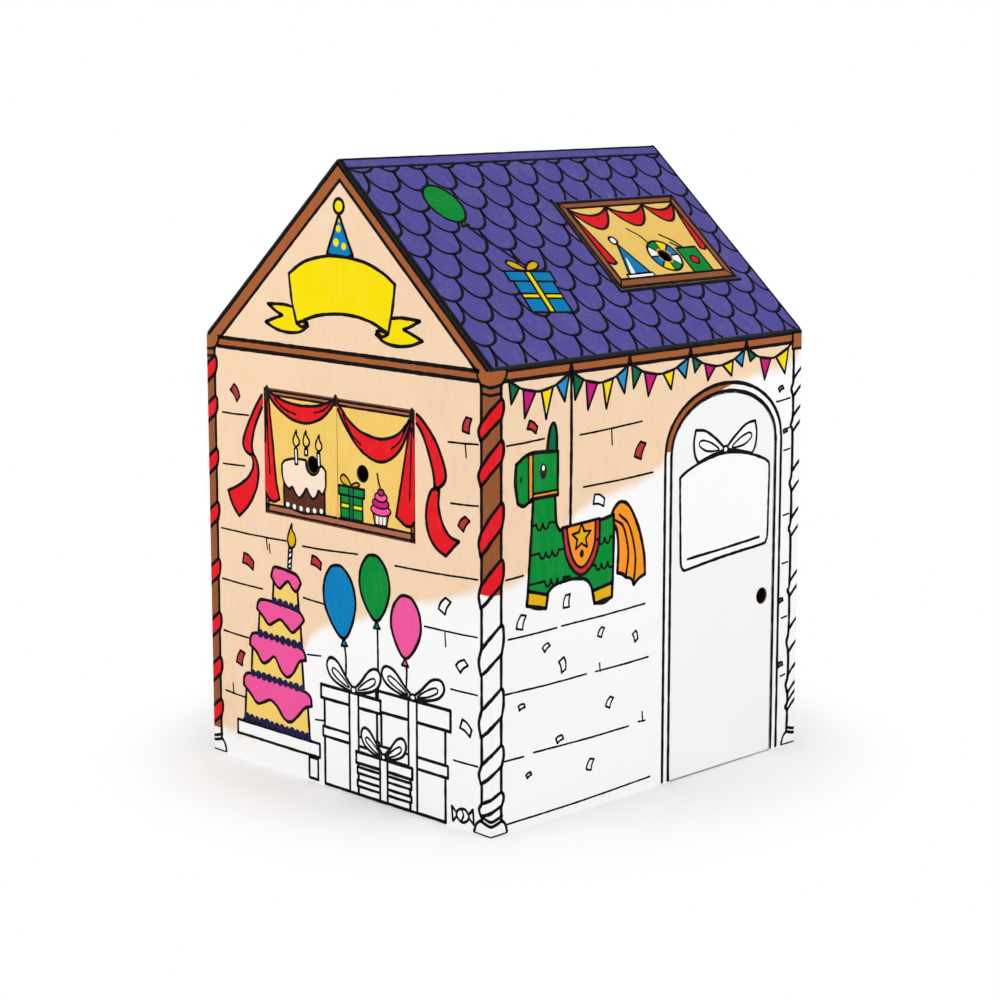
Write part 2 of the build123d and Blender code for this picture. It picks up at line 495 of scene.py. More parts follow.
def wall_outside(t, axes, place):
    """White, with tan above the slanting edge on two walls and all over the left one."""
    x, y, z = axes
    to_side = t.minus(HALF_WIDTH / MM, t.math("ABSOLUTE", x))
    to_end = t.minus(HALF_DEPTH / MM, t.math("ABSOLUTE", y))
    faces_y = t.under(to_end, to_side)
    faces_x = t.minus(1.0, faces_y)
    wave = t.noise(t.scaled(place, (1, 1, 0.6)), 30.0, 3.0, 0.6)[0]
    height = t.add(z, t.times(t.add(wave, -0.5), RAGGED))
    masks = [t.times(faces_x, t.under(x, 0.0))]
    for distance, width, edge, wall in (
        (t.add(x, HALF_WIDTH / MM), WIDTH, FRONT_EDGE, t.times(faces_y, t.under(y, 0.0))),
        (t.add(y, HALF_DEPTH / MM), DEPTH, DOOR_EDGE, t.times(faces_x, t.over(x, 0.0))),
    ):
        above = t.minus(height, edge_height(t, distance, width, edge))
        masks.append(t.times(wall, t.ramp(above, -TAN_EDGE, TAN_EDGE)))
    walls = t.mix(t.most(*masks), rgba(LINER_WHITE), marked(t, TAN, place, TAN_UNEVENNESS))
    return t.mix(on_top_edge(t, axes), walls, rgba(EDGE_INK))


dress("wall_sheet", board_material("wall_board", wall_measure, wall_outside))

# %% Roof and flaps
PURPLE = (77, 69, 153)
PURPLE_UNEVENNESS = 0.24
ROOM_YELLOW = (243, 201, 98)
DOOR_WHITE = (246, 246, 246)
EDGE_LINE = 1.5


def at_gable(t, axes, margin):
    """One on the roof's two cut ends and within a margin of them."""
    return t.over(t.math("ABSOLUTE", axes[1]), HALF_DEPTH / MM - margin)


def slope_measure(t, axes):
    """Depth under the top faces of the two slopes, and the place along the ridge."""
    across = t.math("ABSOLUTE", axes[0])
    upward = t.split(t.node("ShaderNodeTexCoord").outputs["Normal"])[2]
    height = t.add(RIDGE / MM, t.minus(t.times(across, -tan(PITCH)), axes[2]))
    depth = t.times(height, cos(PITCH))
    at_ridge = t.times(t.under(across, 1.5 * FOLD_RADIUS / MM), t.over(upward, 0.3))
    at_eave = t.times(t.over(across, (HALF_WIDTH - 1.6 * BOARD) / MM), t.over(upward, 0.1))
    on_eave_fold = t.over(across, (HALF_WIDTH - BOARD) / MM - TOUCH)
    covered = t.most(at_ridge, at_eave, on_eave_fold, at_gable(t, axes, TOUCH))
    return t.times(depth, t.minus(1.0, covered)), axes[1]


def front_measure(t, axes):
    """Depth under the front wall's face."""
    return t.add(axes[1], HALF_DEPTH / MM), axes[0]


def door_measure(t, axes):
    """Depth under the door wall's face."""
    return t.minus(HALF_WIDTH / MM, axes[0]), axes[1]


def roof_outside(t, axes, place):
    """Purple marker, with the black line of the pen on the cut ends and round the eaves."""
    at_eave = t.over(t.math("ABSOLUTE", axes[0]), (HALF_WIDTH - BOARD) / MM - EDGE_LINE)
    inked = t.most(at_gable(t, axes, EDGE_LINE), at_eave)
    return t.mix(inked, marked(t, PURPLE, place, PURPLE_UNEVENNESS), rgba(EDGE_INK))


def room_outside(t, axes, place):
    """The yellow room that the window and the skylight look into."""
    return marked(t, ROOM_YELLOW, place, 0.45)


def door_outside(t, axes, place):
    """The door's white, nearly even."""
    return marked(t, DOOR_WHITE, place, 0.02)


dress("roof_sheet", board_material("roof_board", slope_measure, roof_outside))
dress("skylight_flap", board_material("skylight_board", slope_measure, room_outside))
leaf_board = board_material("leaf_board", front_measure, room_outside)
dress("left_shutter", leaf_board)
dress("right_shutter", leaf_board)
dress("door_flap", board_material("door_board", door_measure, door_outside))

# %% [markdown]
# ## Pages
# A page is one flat face of the house with millimetre coordinates: u to the right, v up and w out
# of the board. The sheet was printed before it was folded, so a page bends round the rounded folds
# at its edges. A page may also be cut into boxes, because a picture that crosses the window has to
# part where the leaves part. Beside a crease the print thins out, so that a leaf folds back flat.


# %% The pages
PRINT_STEP = 0.06
CREASE_REACH = 10.0


def past_fold(distance, start, reach, turn, rise):
    """Where a printed point lies, along and out, when the board turns away after start."""
    bent = min(max(distance - start, 0), reach)
    if bent == 0:
        return distance, rise
    angle = turn * bent / reach
    beyond = max(distance - start - reach, 0)
    radius = FOLD_RADIUS / MM
    along = start + (radius + rise) * sin(angle) + beyond * cos(angle)
    return along, (radius + rise) * cos(angle) - radius - beyond * sin(angle)


class Page:
    """A face of the house. The board may be folded past its right or its top edge."""

    def __init__(self, name, corner, right, up, width, height, fold=None):
        self.name = name
        self.body = "house"
        self.corner = Vector(corner)
        self.right = Vector(right)
        self.up = Vector(up)
        self.out = self.right.cross(self.up)
        self.width = width
        self.height = height
        self.fold = fold
        self.crease = None
        self.boxes = [(-width, -height, 2 * width, 2 * height)]
        self.strokes = []
        self.turn = 2 * PITCH if fold == "top" else pi / 2
        self.reach = 2 * FOLD_RADIUS / MM * tan(self.turn / 2)
        self.bend_start = (height if fold == "top" else width) - self.reach / 2

    def part(self, boxes):
        """The same page, limited to some boxes (left, bottom, right, top). It shares the strokes."""
        made = copy(self)
        made.boxes = boxes
        return made

    def cuts(self):
        """Lines where a print has to be divided so that it can bend or thin out: (axis, distance)."""
        if self.crease:
            return [(0, self.crease + side * CREASE_REACH) for side in (-1, 1)]
        axis = 1 if self.fold == "top" else 0
        return [(axis, self.bend_start + self.reach * i / 4) for i in range(5)] if self.fold else []

    def place(self, u, v, w):
        """The point of space w above (u, v), in metres."""
        if self.fold == "right":
            u, w = past_fold(u, self.bend_start, self.reach, self.turn, w)
        elif self.fold == "top":
            v, w = past_fold(v, self.bend_start, self.reach, self.turn, w)
        elif self.crease:
            w *= min(1.0, abs(u - self.crease) / CREASE_REACH)
        return self.corner + (self.right * u + self.up * v + self.out * w) * MM


print("films rise by", PRINT_STEP, "mm a level")

# %% Six pages
X = Vector((1, 0, 0))
Y = Vector((0, 1, 0))
Z = Vector((0, 0, 1))
RIGHT_RAKE = (-cos(PITCH), 0, sin(PITCH))
LEFT_RAKE = (cos(PITCH), 0, sin(PITCH))
LEFT_FRONT, RIGHT_FRONT, RIGHT_BACK, LEFT_BACK = (
    Vector((side * HALF_WIDTH, end * HALF_DEPTH, 0)) for side, end in ((-1, -1), (1, -1), (1, 1), (-1, 1))
)

front = Page("front", LEFT_FRONT, X, Z, WIDTH, APEX, "right")
door_wall = Page("door_wall", RIGHT_FRONT, Y, Z, DEPTH, WALL_TOP, "right")
back = Page("back", RIGHT_BACK, -X, Z, WIDTH, APEX)
left_wall = Page("left_wall", LEFT_BACK, -Y, Z, DEPTH, WALL_TOP, "right")
right_slope = Page("right_slope", RIGHT_FRONT + Z * EAVE, Y, RIGHT_RAKE, DEPTH, SLOPE, "top")
left_slope = Page("left_slope", LEFT_BACK + Z * EAVE, -Y, LEFT_RAKE, DEPTH, SLOPE)
for page in (front, door_wall, back, left_wall, right_slope, left_slope):
    print(page.name, round(page.width), "by", round(page.height))


# %% Pages of the flaps
def twin(page, name, box, crease=None):
    """A page in the same plane that rides with a flap and is limited to the flap's box."""
    made = page.part([box])
    made.name = made.body = name
    made.fold = None
    made.crease = crease
    made.strokes = []
    print(name, [round(side, 1) for side in box])
    return made


def upright_box(node, axis, page):
    """The box of an upright flap on its page: left, bottom, right, top."""
    low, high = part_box(node)
    start = page.corner[axis]
    return ((low[axis] - start) / MM, low.z / MM, (high[axis] - start) / MM, high.z / MM)


DOOR_BOX = upright_box("door_flap", 1, door_wall)
LEFT_LEAF_BOX = upright_box("left_shutter", 0, front)
RIGHT_LEAF_BOX = upright_box("right_shutter", 0, front)
low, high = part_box("skylight_flap")
skylight_near, skylight_far = ((y + HALF_DEPTH) / MM for y in (low.y, high.y))
skylight_foot = (HALF_WIDTH - high.x) / cos(PITCH) / MM
skylight_head = (HALF_WIDTH - low.x - BOARD * sin(PITCH)) / cos(PITCH) / MM
SKYLIGHT_BOX = (skylight_near, skylight_foot, skylight_far, skylight_head)

door = twin(door_wall, "door", DOOR_BOX)
left_leaf = twin(front, "left_leaf", LEFT_LEAF_BOX, LEFT_LEAF_BOX[0])
right_leaf = twin(front, "right_leaf", RIGHT_LEAF_BOX, RIGHT_LEAF_BOX[2])
skylight = twin(right_slope, "skylight", SKYLIGHT_BOX)

# %% [markdown]
# ## Drawing
# A figure is drawn as runs: each run is a soft curve through a few points, and runs meet at sharp
# corners. The same run serves twice. It bounds the film of colour, and it is the path that the pen
# followed. Colour is a thin closed film, and films that overlap lie a few hundredths of a
# millimetre apart.


# %% Soft curves
CURVE_STEP = 5.0


def smooth(run):
    """Points a few millimetres apart on a soft curve; a run that ends where it starts is a ring."""
    looped = run[0] == run[-1] and len(run) > 2
    if len(run) == 2:
        length = hypot(run[1][0] - run[0][0], run[1][1] - run[0][1])
        steps = max(1, ceil(length / (3 * CURVE_STEP)))
        return [tuple(a + (b - a) * i / steps for a, b in zip(*run)) for i in range(steps + 1)]
    before = run[-2] if looped else tuple(2 * a - b for a, b in zip(run[0], run[1]))
    after = run[1] if looped else tuple(2 * a - b for a, b in zip(run[-1], run[-2]))
    ends = [before, *run, after]
    points = []
    for p0, p1, p2, p3 in zip(ends, ends[1:], ends[2:], ends[3:]):
        steps = max(1, ceil(hypot(p2[0] - p1[0], p2[1] - p1[1]) / CURVE_STEP))
        for share in (i / steps for i in range(steps)):
            points.append(tuple(
                0.5 * (2 * b + (c - a) * share + (2 * a - 5 * b + 4 * c - d) * share**2
                       + (3 * b - a - 3 * c + d) * share**3)
                for a, b, c, d in zip(p0, p1, p2, p3)
            ))
    return points + [tuple(run[-1])]


def closed(first, *others):
    """Runs round a figure. Each starts where the one before ends, and a straight one closes it."""
    runs = [first]
    for run in others:
        runs.append([runs[-1][-1], *run])
    if runs[-1][-1] != first[0]:
        runs.append([runs[-1][-1], first[0]])
    return runs


print("a soft corner has", len(smooth([(0, 0), (50, 0), (50, 50)])), "points")


# %% Simple figures
def corners(*points):
    """Straight runs round a polygon."""
    return [[a, b] for a, b in zip(points, (*points[1:], points[0]))]


def rectangle(left, bottom, right, top):
    return corners((left, bottom), (right, bottom), (right, top), (left, top))


def ring(centre, radius, tall=None, turn=0.0, count=10):
    """One closed run round an ellipse."""
    tall = tall or radius
    spots = []
    for i in range(count + 1):
        angle = 2 * pi * (i % count) / count
        a, b = radius * cos(angle), tall * sin(angle)
        u, v = a * cos(turn) - b * sin(turn), a * sin(turn) + b * cos(turn)
        spots.append((centre[0] + u, centre[1] + v))
    return [spots]


def moved(runs, spot=(0, 0), turn=0.0, size=(1, 1)):
    """Runs scaled, turned by some degrees and set down at a spot."""
    c, s = cos(radians(turn)), sin(radians(turn))
    scaled = [[(u * size[0], v * size[1]) for u, v in run] for run in runs]
    return [[(spot[0] + u * c - v * s, spot[1] + u * s + v * c) for u, v in run] for run in scaled]


print("a ring has", len(smooth(ring((0, 0), 50)[0])), "points")


# %% Cutting at the edge of a box
def sides_of(box):
    """The four sides of a box: (axis, limit, sign towards the inside)."""
    left, bottom, right, top = box
    return (0, left, 1), (1, bottom, 1), (0, right, -1), (1, top, -1)


def trimmed(outline, box):
    """The part of a closed outline inside a box."""
    for axis, limit, sign in sides_of(box):
        kept = []
        for a, b in zip(outline, outline[1:] + outline[:1]):
            from_a, from_b = sign * (a[axis] - limit), sign * (b[axis] - limit)
            if from_a >= 0:
                kept.append(a)
            if from_a * from_b < 0:
                share = from_a / (from_a - from_b)
                kept.append(tuple(p + (q - p) * share for p, q in zip(a, b)))
        outline = kept
    return outline


def cut_line(points, box):
    """The pieces of a line inside a box."""
    pieces = []
    for a, b in zip(points, points[1:]):
        start, end = 0.0, 1.0
        for axis, limit, sign in sides_of(box):
            from_a, from_b = sign * (a[axis] - limit), sign * (b[axis] - limit)
            if from_a < 0 and from_b < 0:
                start, end = 1.0, 0.0
            elif from_a < 0:
                start = max(start, from_a / (from_a - from_b))
            elif from_b < 0:
                end = min(end, from_a / (from_a - from_b))
        if start >= end:
            continue
        first, last = (tuple(p + (q - p) * share for p, q in zip(a, b)) for share in (start, end))
        if pieces and pieces[-1][-1] == first:
            pieces[-1].append(last)
        else:
            pieces.append([first, last])
    return pieces


print("half a square", trimmed([(0, 0), (2, 0), (2, 2), (0, 2)], (1, 0, 9, 9)))

# %% Colour and line
films = {}


def colour_in(page, colour, runs, level=1):
    """A film of colour inside a closed figure."""
    outline = []
    for run in runs:
        outline += smooth(run)[:-1]
    for box in page.boxes:
        piece = trimmed(outline, box)
        if len(piece) > 2:
            films.setdefault((page.body, colour), []).append((page, piece, level))


PEN_WEIGHT = 1.22


def draw(page, runs, thick=5.5, level=6):
    """Ink along some runs. The level keeps it above the films that it outlines."""
    half = thick * PEN_WEIGHT / 2
    for run in runs:
        for left, bottom, right, top in page.boxes:
            pieces = cut_line(smooth(run), (left + half, bottom + half, right - half, top - half))
            page.strokes += [(piece, half, level) for piece in pieces]


def figure(page, colour, runs, thick=5.5, level=1):
    """A figure with its colour and its outline."""
    colour_in(page, colour, runs, level)
    draw(page, runs, thick, level + 0.5)


print("films start at", PRINT_STEP, "mm")

# %% [markdown]
# The pen's line is where Geometry Nodes earn their place. A tree takes bare paths and turns each
# into a ribbon of ink. Noise moves the path a little and makes the ribbon swell and thin, as a
# hand-drawn line does. A disc closes each end, so strokes that meet make a round corner.


# %% Helpers for geometry trees
def geometry_group(name, inputs):
    """An empty geometry tree with named inputs, and its two end nodes."""
    geometry = {"Geometry": "geometry"}
    return node_group(name, {**geometry, **inputs}, geometry, "GeometryNodeTree")


def wander(t, place, scale, detail=2.0):
    """Noise as a vector that goes either way from zero."""
    noise = t.noise(place, scale, detail)[1]
    return t.out("ShaderNodeVectorMath", {0: noise, 1: (0.5, 0.5, 0.5)}, operation="SUBTRACT")


def store(t, geometry, name, value):
    """Keeps a number under a name at every point."""
    made = t.node("GeometryNodeStoreNamedAttribute", {0: geometry, "Name": name}, data_type="FLOAT")
    t.feed(next(s for s in made.inputs if s.name == "Value" and s.enabled), value)
    return made.outputs[0]


def stored(t, name):
    """The number that was kept under a name."""
    return t.out("GeometryNodeInputNamedAttribute", {"Name": name}, data_type="FLOAT")


def joined(t, *parts):
    """Some geometries as one."""
    join = t.node("GeometryNodeJoinGeometry")
    for part in parts:
        t.feed(join.inputs[0], part)
    return join.outputs[0]


# %% The ink tree
PATH_NOISE = 38.0
WIDTH_NOISE = 55.0

ink_line, t, given, result = geometry_group(
    "ink_line", {"Wobble": "value", "Swell": "value", "Ink Depth": "value", "Ink": "material"}
)
position = t.out("GeometryNodeInputPosition")
paths = t.out("GeometryNodeMeshToCurve", {0: given["Geometry"]})
shift = t.scaled(wander(t, position, PATH_NOISE), t.vector(given["Wobble"], given["Wobble"]))
paths = t.out("GeometryNodeSetPosition", {0: paths, "Offset": shift})
swell = t.times(given["Swell"], t.add(t.noise(position, WIDTH_NOISE, 1.0)[0], -0.5))
paths = store(t, paths, "thick", t.times(stored(t, "half_width"), t.add(1.0, swell)))
paths = store(t, paths, "rise", t.split(position)[2])
thick = stored(t, "thick")
rise = stored(t, "rise")
paths = t.out("GeometryNodeSetCurveNormal", {0: paths}, mode="Z_UP")
section = t.out("GeometryNodeCurvePrimitiveQuadrilateral", {"Width": 2.0, "Height": 2.0})
ribbons = t.out("GeometryNodeCurveToMesh", {0: paths, 1: section, "Scale": thick, "Fill Caps": True})
disc = t.out("GeometryNodeMeshCylinder", {"Vertices": 10, "Radius": 1.0, "Depth": 2.0})
ends = t.out("GeometryNodeCurveEndpointSelection")
size = t.vector(thick, thick, thick)
spots = {0: paths, "Selection": ends, "Instance": disc, "Scale": size}
dots = t.out("GeometryNodeInstanceOnPoints", spots)
inked = t.out("GeometryNodeRealizeInstances", {0: joined(t, ribbons, dots)})
x, y, z = t.split(position)
height = t.times(t.over(z, rise), t.add(rise, given["Ink Depth"]))
inked = t.out("GeometryNodeSetPosition", {0: inked, "Position": t.vector(x, y, height)})
t.feed(result[0], t.out("GeometryNodeSetMaterial", {0: inked, "Material": given["Ink"]}))
print("tree", ink_line.name, "with", len(ink_line.nodes), "nodes")


# %% Running a tree
def grown(source, tree, inputs):
    """Runs a geometry tree on a mesh and returns the result as a plain mesh."""
    carrier = put(tree.name, source)
    modifier = carrier.modifiers.new(tree.name, "NODES")
    modifier.node_group = tree
    for item in tree.interface.items_tree:
        if item.in_out == "INPUT" and item.name in inputs:
            modifier[item.identifier] = inputs[item.name]
    shown = carrier.evaluated_get(bpy.context.evaluated_depsgraph_get())
    mesh = bpy.data.meshes.new_from_object(shown)
    carrier.modifiers.remove(modifier)
    bpy.data.objects.remove(carrier)
    return mesh


def paths_mesh(strokes):
    """Bare paths in metres, with the half width of the pen at each point."""
    mesh = bpy.data.meshes.new("paths")
    points = [
        (u * MM, v * MM, level * PRINT_STEP * MM) for piece, _, level in strokes for u, v in piece
    ]
    edges = []
    first = 0
    for piece, _, _ in strokes:
        edges += [(first + i, first + i + 1) for i in range(len(piece) - 1)]
        first += len(piece)
    mesh.from_pydata(points, edges, [])
    widths = mesh.attributes.new("half_width", "FLOAT", "POINT")
    widths.data.foreach_set("value", [half * MM for piece, half, _ in strokes for _ in piece])
    return mesh


print("pen's width is stored as", "half_width")


def divided(shape, page, scale):
    """Cuts a flat print along the lines where its page bends."""
    for axis, distance in page.cuts():
        spot = [distance * scale if i == axis else 0 for i in range(3)]
        direction = [1 if i == axis else 0 for i in range(3)]
        everything = shape.verts[:] + shape.edges[:] + shape.faces[:]
        bmesh.ops.bisect_plane(shape, geom=everything, plane_co=spot, plane_no=direction)


def print_on(body, name, mesh):
    """Makes a mesh a piece that rides with a body."""
    piece = put(name, mesh)
    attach(piece, body)


def settle(mesh, page, name):
    """Bends a flat print round its page, makes it a piece and lets it ride."""
    if page.cuts():
        shape = bmesh.new()
        shape.from_mesh(mesh)
        divided(shape, page, MM)
        shape.to_mesh(mesh)
        shape.free()
    for vertex in mesh.vertices:
        vertex.co = page.place(*(vertex.co / MM))
    mesh.name = name
    print_on(page.body, name, mesh)
    print(name, len(mesh.polygons), "faces")


# %% Ink and colours
COLOURS = {
    "brown": (166, 93, 48),
    "column_brown": (148, 86, 48),
    "red": (228, 24, 34),
    "brick": (190, 48, 56),
    "lemon": (246, 222, 0),
    "gold": (226, 176, 12),
    "sponge": (243, 208, 108),
    "orange": (250, 150, 34),
    "green": (0, 138, 52),
    "deep_green": (4, 104, 66),
    "blue": (0, 126, 186),
    "navy": (28, 26, 74),
    "pink": (238, 86, 156),
    "magenta": (204, 22, 124),
    "icing": (248, 225, 204),
    "chocolate": (86, 44, 28),
    "frame": (172, 104, 76),
    "sky": (34, 142, 196),
    "white": (250, 250, 250),
    "ink_black": (18, 16, 18),
    "ink_grey": (90, 88, 88),
}

PAINT_UNEVENNESS = 0.1
INK_UNEVENNESS = 0.03
PRINT_ROUGHNESS = 0.5
PRINT_SHINE = 0.04


def print_material(name, colour, unevenness):
    """Marker or ink on paper: uneven cover, fine fibres and a dull surface."""
    material = bpy.data.materials.new("print_" + name)
    t = cleared(material)
    place = t.node("ShaderNodeTexCoord").outputs["Object"]
    fibres = t.node("ShaderNodeGroup", {"Place": place}, node_tree=paper_fibres).outputs
    bump = {"Height": fibres["Height"], "Strength": 0.25, "Distance": 0.05 * MM}
    roughness = t.add(PRINT_ROUGHNESS, t.times(fibres["Shade"], 0.2))
    look = {"Roughness": roughness, "Specular IOR Level": PRINT_SHINE}
    paper_surface(t, marked(t, colour, place, unevenness), bump, look)
    return material


INK = print_material("ink", (12, 9, 14), INK_UNEVENNESS)
paints = {name: print_material(name, colour, PAINT_UNEVENNESS) for name, colour in COLOURS.items()}
print("colours", len(paints))

# %% [markdown]
# Printing a page turns its strokes into one mesh of ink. The films wait until all pages are drawn
# and are then pressed together, one mesh for each colour on each body.

# %% Printing ink
WOBBLE = 1.3 * MM
SWELL = 0.7
INK_DEPTH = 0.02 * MM
PEN = {"Wobble": WOBBLE, "Swell": SWELL, "Ink Depth": INK_DEPTH, "Ink": INK}


def print_ink(page):
    """All the ink of a page as one piece."""
    settle(grown(paths_mesh(page.strokes), ink_line, PEN), page, page.name + "_ink")


# %% Printing colour
def film_faces(shape, page, outline, level):
    """Adds one closed film to a mesh in space."""
    flat = bmesh.new()
    flat.faces.new([flat.verts.new((u, v, 0)) for u, v in outline])
    bmesh.ops.dissolve_degenerate(flat, dist=0.01, edges=flat.edges[:])
    divided(flat, page, 1)
    for raised in bmesh.ops.extrude_face_region(flat, geom=flat.faces[:])["geom"]:
        if isinstance(raised, bmesh.types.BMVert):
            raised.co.z = level * PRINT_STEP
    bmesh.ops.recalc_face_normals(flat, faces=flat.faces[:])
    copies = {vertex: shape.verts.new(page.place(*vertex.co)) for vertex in flat.verts}
    for face in flat.faces:
        shape.faces.new([copies[vertex] for vertex in face.verts])
    flat.free()


def print_films():
    """One mesh for each colour on each body."""
    for (body, colour), pieces in films.items():
        shape = bmesh.new()
        for page, outline, level in pieces:
            film_faces(shape, page, outline, level)
        mesh = bpy.data.meshes.new(body + "_" + colour)
        shape.to_mesh(mesh)
        shape.free()
        mesh.materials.append(paints[colour])
        print_on(body, mesh.name, mesh)
        print(mesh.name, len(pieces), "films")


# %% [markdown]
# ## The front wall
# The wall is drawn as boards, with short lines where two boards meet. These lines are thinner than
# the outlines of figures, and they lie under them.

# %% Boards of the front wall
BOARD_LINE = 3.2
BOARD_LEVEL = 1
BOARD_SAG = 0.006


def board_lines(page, lines):
    """Nearly level pen lines: (left, right, height at left, height at right)."""
    for left, right, start, end in lines:
        middle = ((left + right) / 2, (start + end) / 2 - (right - left) * BOARD_SAG)
        draw(page, [[(left, start), middle, (right, end)]], BOARD_LINE, BOARD_LEVEL)


def short_lines(page, lines):
    """Short upright pen lines: (u, top, bottom)."""
    for u, top, bottom in lines:
        draw(page, [[(u, top), (u + 2, bottom)]], BOARD_LINE, BOARD_LEVEL)


FRONT_BOARDS = (
    (48, 130, 706, 708), (700, 778, 721, 725), (47, 115, 602, 605), (707, 778, 609, 613),
    (38, 240, 469, 471), (290, 450, 468, 476), (555, 776, 470, 478), (38, 165, 365, 363),
    (290, 352, 366, 363), (635, 775, 368, 371), (40, 128, 258, 255), (300, 340, 254, 258),
    (705, 775, 262, 263), (42, 104, 133, 130), (322, 348, 127, 130), (712, 775, 128, 129),
)
board_lines(front, FRONT_BOARDS)
short_lines(front, ((180, 467, 446), (188, 457, 440), (690, 366, 340), (745, 722, 698), (66, 152, 133)))
print("boards", len(FRONT_BOARDS))

# %% [markdown]
# Each corner of the house is printed as a wooden post with a red ribbon wound round it. A post is
# drawn across the fold in one go: it stays on the page of the wall to its left and runs past that
# page's edge. Each turn of ribbon is a film that covers the post's side lines, white where the wall
# is still white.

# %% Posts
POST_LINE = 6.0
POST_THIN = 5.1
POST_SIDES = (-24, 26)
POST_FOOT = 28
POST_COLLAR = 817
POST_TOP = 833
POST_HEAD = WALL_TOP - 0.2
NEAR_BANDS = ((37, 24, 20), (98, 37, 34), (186, 51, 38), (301, 51, 41), (426, 44, 44), (522, 45, 51),
              (650, 36, 45), (732, 33, 41))
OTHER_BANDS = tuple((bottom, 34, 46) for bottom in (30, 118, 211, 322, 439, 548, 655, 736))


def band(bottom, tall, rise):
    """One turn of the ribbon, across both faces of a post. Its ends bulge past the post's sides."""
    left, right = POST_SIDES
    low, high = bottom + rise, bottom + rise + tall
    return closed(
        [(left - 2, bottom), (left + 16, bottom + rise * 0.36), (0, bottom + rise * 0.56),
         (right + 1, low)],
        [(right + 6, low + tall * 0.45), (right + 5, high - 3), (right, high + 2)],
        [(0, high - rise * 0.4), (left + 10, high - rise * 0.76), (left, bottom + tall)],
        [(left - 7, bottom + tall * 0.5), (left - 2, bottom)],
    )


def post(page, corner, bands, painted=None):
    """A post round a corner of the page. It is coloured in on the painted part, where there is one."""
    left, right = (corner + side for side in POST_SIDES)
    for side in (left, right):
        draw(page, [[(side, POST_FOOT), (side, POST_TOP)]], POST_LINE, 2.5)
    turns = [moved(band(*turn), (corner, 0)) for turn in bands]
    for turn in turns:
        colour_in(page, "white", turn, 3.5)
        draw(page, turn, POST_LINE, 5)
    head = moved(closed(
        [(-31, POST_HEAD), (-34, 848), (-25, POST_TOP)],
        [(0, POST_TOP - 3), (27, POST_TOP)],
        [(38, 846), (40, POST_HEAD)],
    ), (corner, 0))
    collar = [[(-25, POST_COLLAR + 1), (0, POST_COLLAR - 1), (27, POST_COLLAR + 1)]]
    draw(page, head[:3], POST_THIN, 5.5)
    draw(page, moved(collar, (corner, 0)), 4.5, 5.5)
    if painted:
        colour_in(painted, "column_brown", rectangle(left, 30, right, POST_TOP), 2)
        colour_in(painted, "brown", head, 5)
        for turn in turns:
            colour_in(painted, "red", turn, 4.5)


print("post head at", round(POST_HEAD, 1))


# %% Feet, and the two posts on folds
def post_foot(page, corner):
    """Two collars and a flared foot under a post, outlines only."""
    collars = [[(-27, 37), (0, 31), (28, 37)], [(-28, 28), (0, 22), (29, 28)]]
    flare = [[(-28, 28), (-38, 20), (-44, 5)], [(29, 28), (37, 19), (41, 5)]]
    bottom = [[(-44, 3), (0, 2.5), (41, 3)]]
    draw(page, moved(collars + flare, (corner, 0)), POST_THIN, 5)
    draw(page, moved(bottom, (corner, 0)), 2.5, 5)


for page, bands, painted_from in ((front, NEAR_BANDS, 452), (left_wall, OTHER_BANDS, 50)):
    above = page.part([(0, painted_from, 2 * page.width, 2 * page.height)])
    post(page, page.width, bands, above)
    post_foot(page, page.width)
print("ribbon turns", len(NEAR_BANDS) + len(OTHER_BANDS))

# %% [markdown]
# The gable has brown bargeboards that follow the rakes, and a beam under them. Their widths are
# measured square to the rake, so a line parallel to the edge is the edge moved down by its width
# over the cosine of the pitch.

# %% Gable trim
RAKE_WIDTHS = (29.0, 22.0)
RAKE_LINE = 5.5
BEAM = (839, 857)


def rake_drop(distance):
    """How far under the gable's edge a line lies, measured straight down."""
    return distance / cos(PITCH)


def gable_trim(page, coloured):
    """Bargeboards and beam on a gable page."""
    middle = page.width / 2
    slope = (page.height - WALL_TOP) / (middle - BOARD / MM)
    low = BEAM[1] + 1
    widths = RAKE_WIDTHS if coloured else RAKE_WIDTHS[:1] * 2
    peak = (widths[0] - widths[1]) / 2 / sin(PITCH)
    inner_top = page.height - rake_drop(sum(widths) / 2)
    for side, width in zip((-1, 1), widths):
        outer = page.height - rake_drop(2.5)
        inner = page.height - rake_drop(width)
        outer_foot = middle + side * (outer - low) / slope
        inner_foot = middle + side * (inner - low) / slope
        board = corners((middle, outer), (outer_foot, low), (inner_foot, low), (middle + peak, inner_top))
        if coloured:
            colour_in(page, "brown", board, 2)
        draw(page, [board[0], board[2]], RAKE_LINE, 4)
    if coloured:
        colour_in(page, "brown", rectangle(3, BEAM[0], page.width - 3, BEAM[1]), 3)
    for height in BEAM:
        draw(page, [[(38, height - 1), (middle, height), (page.width - 32, height)]], RAKE_LINE + 1, 4)


gable_trim(front, True)
print("rake boards", RAKE_WIDTHS, "mm wide")

# %% [markdown]
# A ribbon banner with a party hat over it fills the gable. The banner carries nothing, so its body
# is one curved panel, and its tails are folded behind it and end in swallow tails.

# %% Banner and hat
BANNER_SPOT = (5, -2)
BANNER_MIDDLE = 406

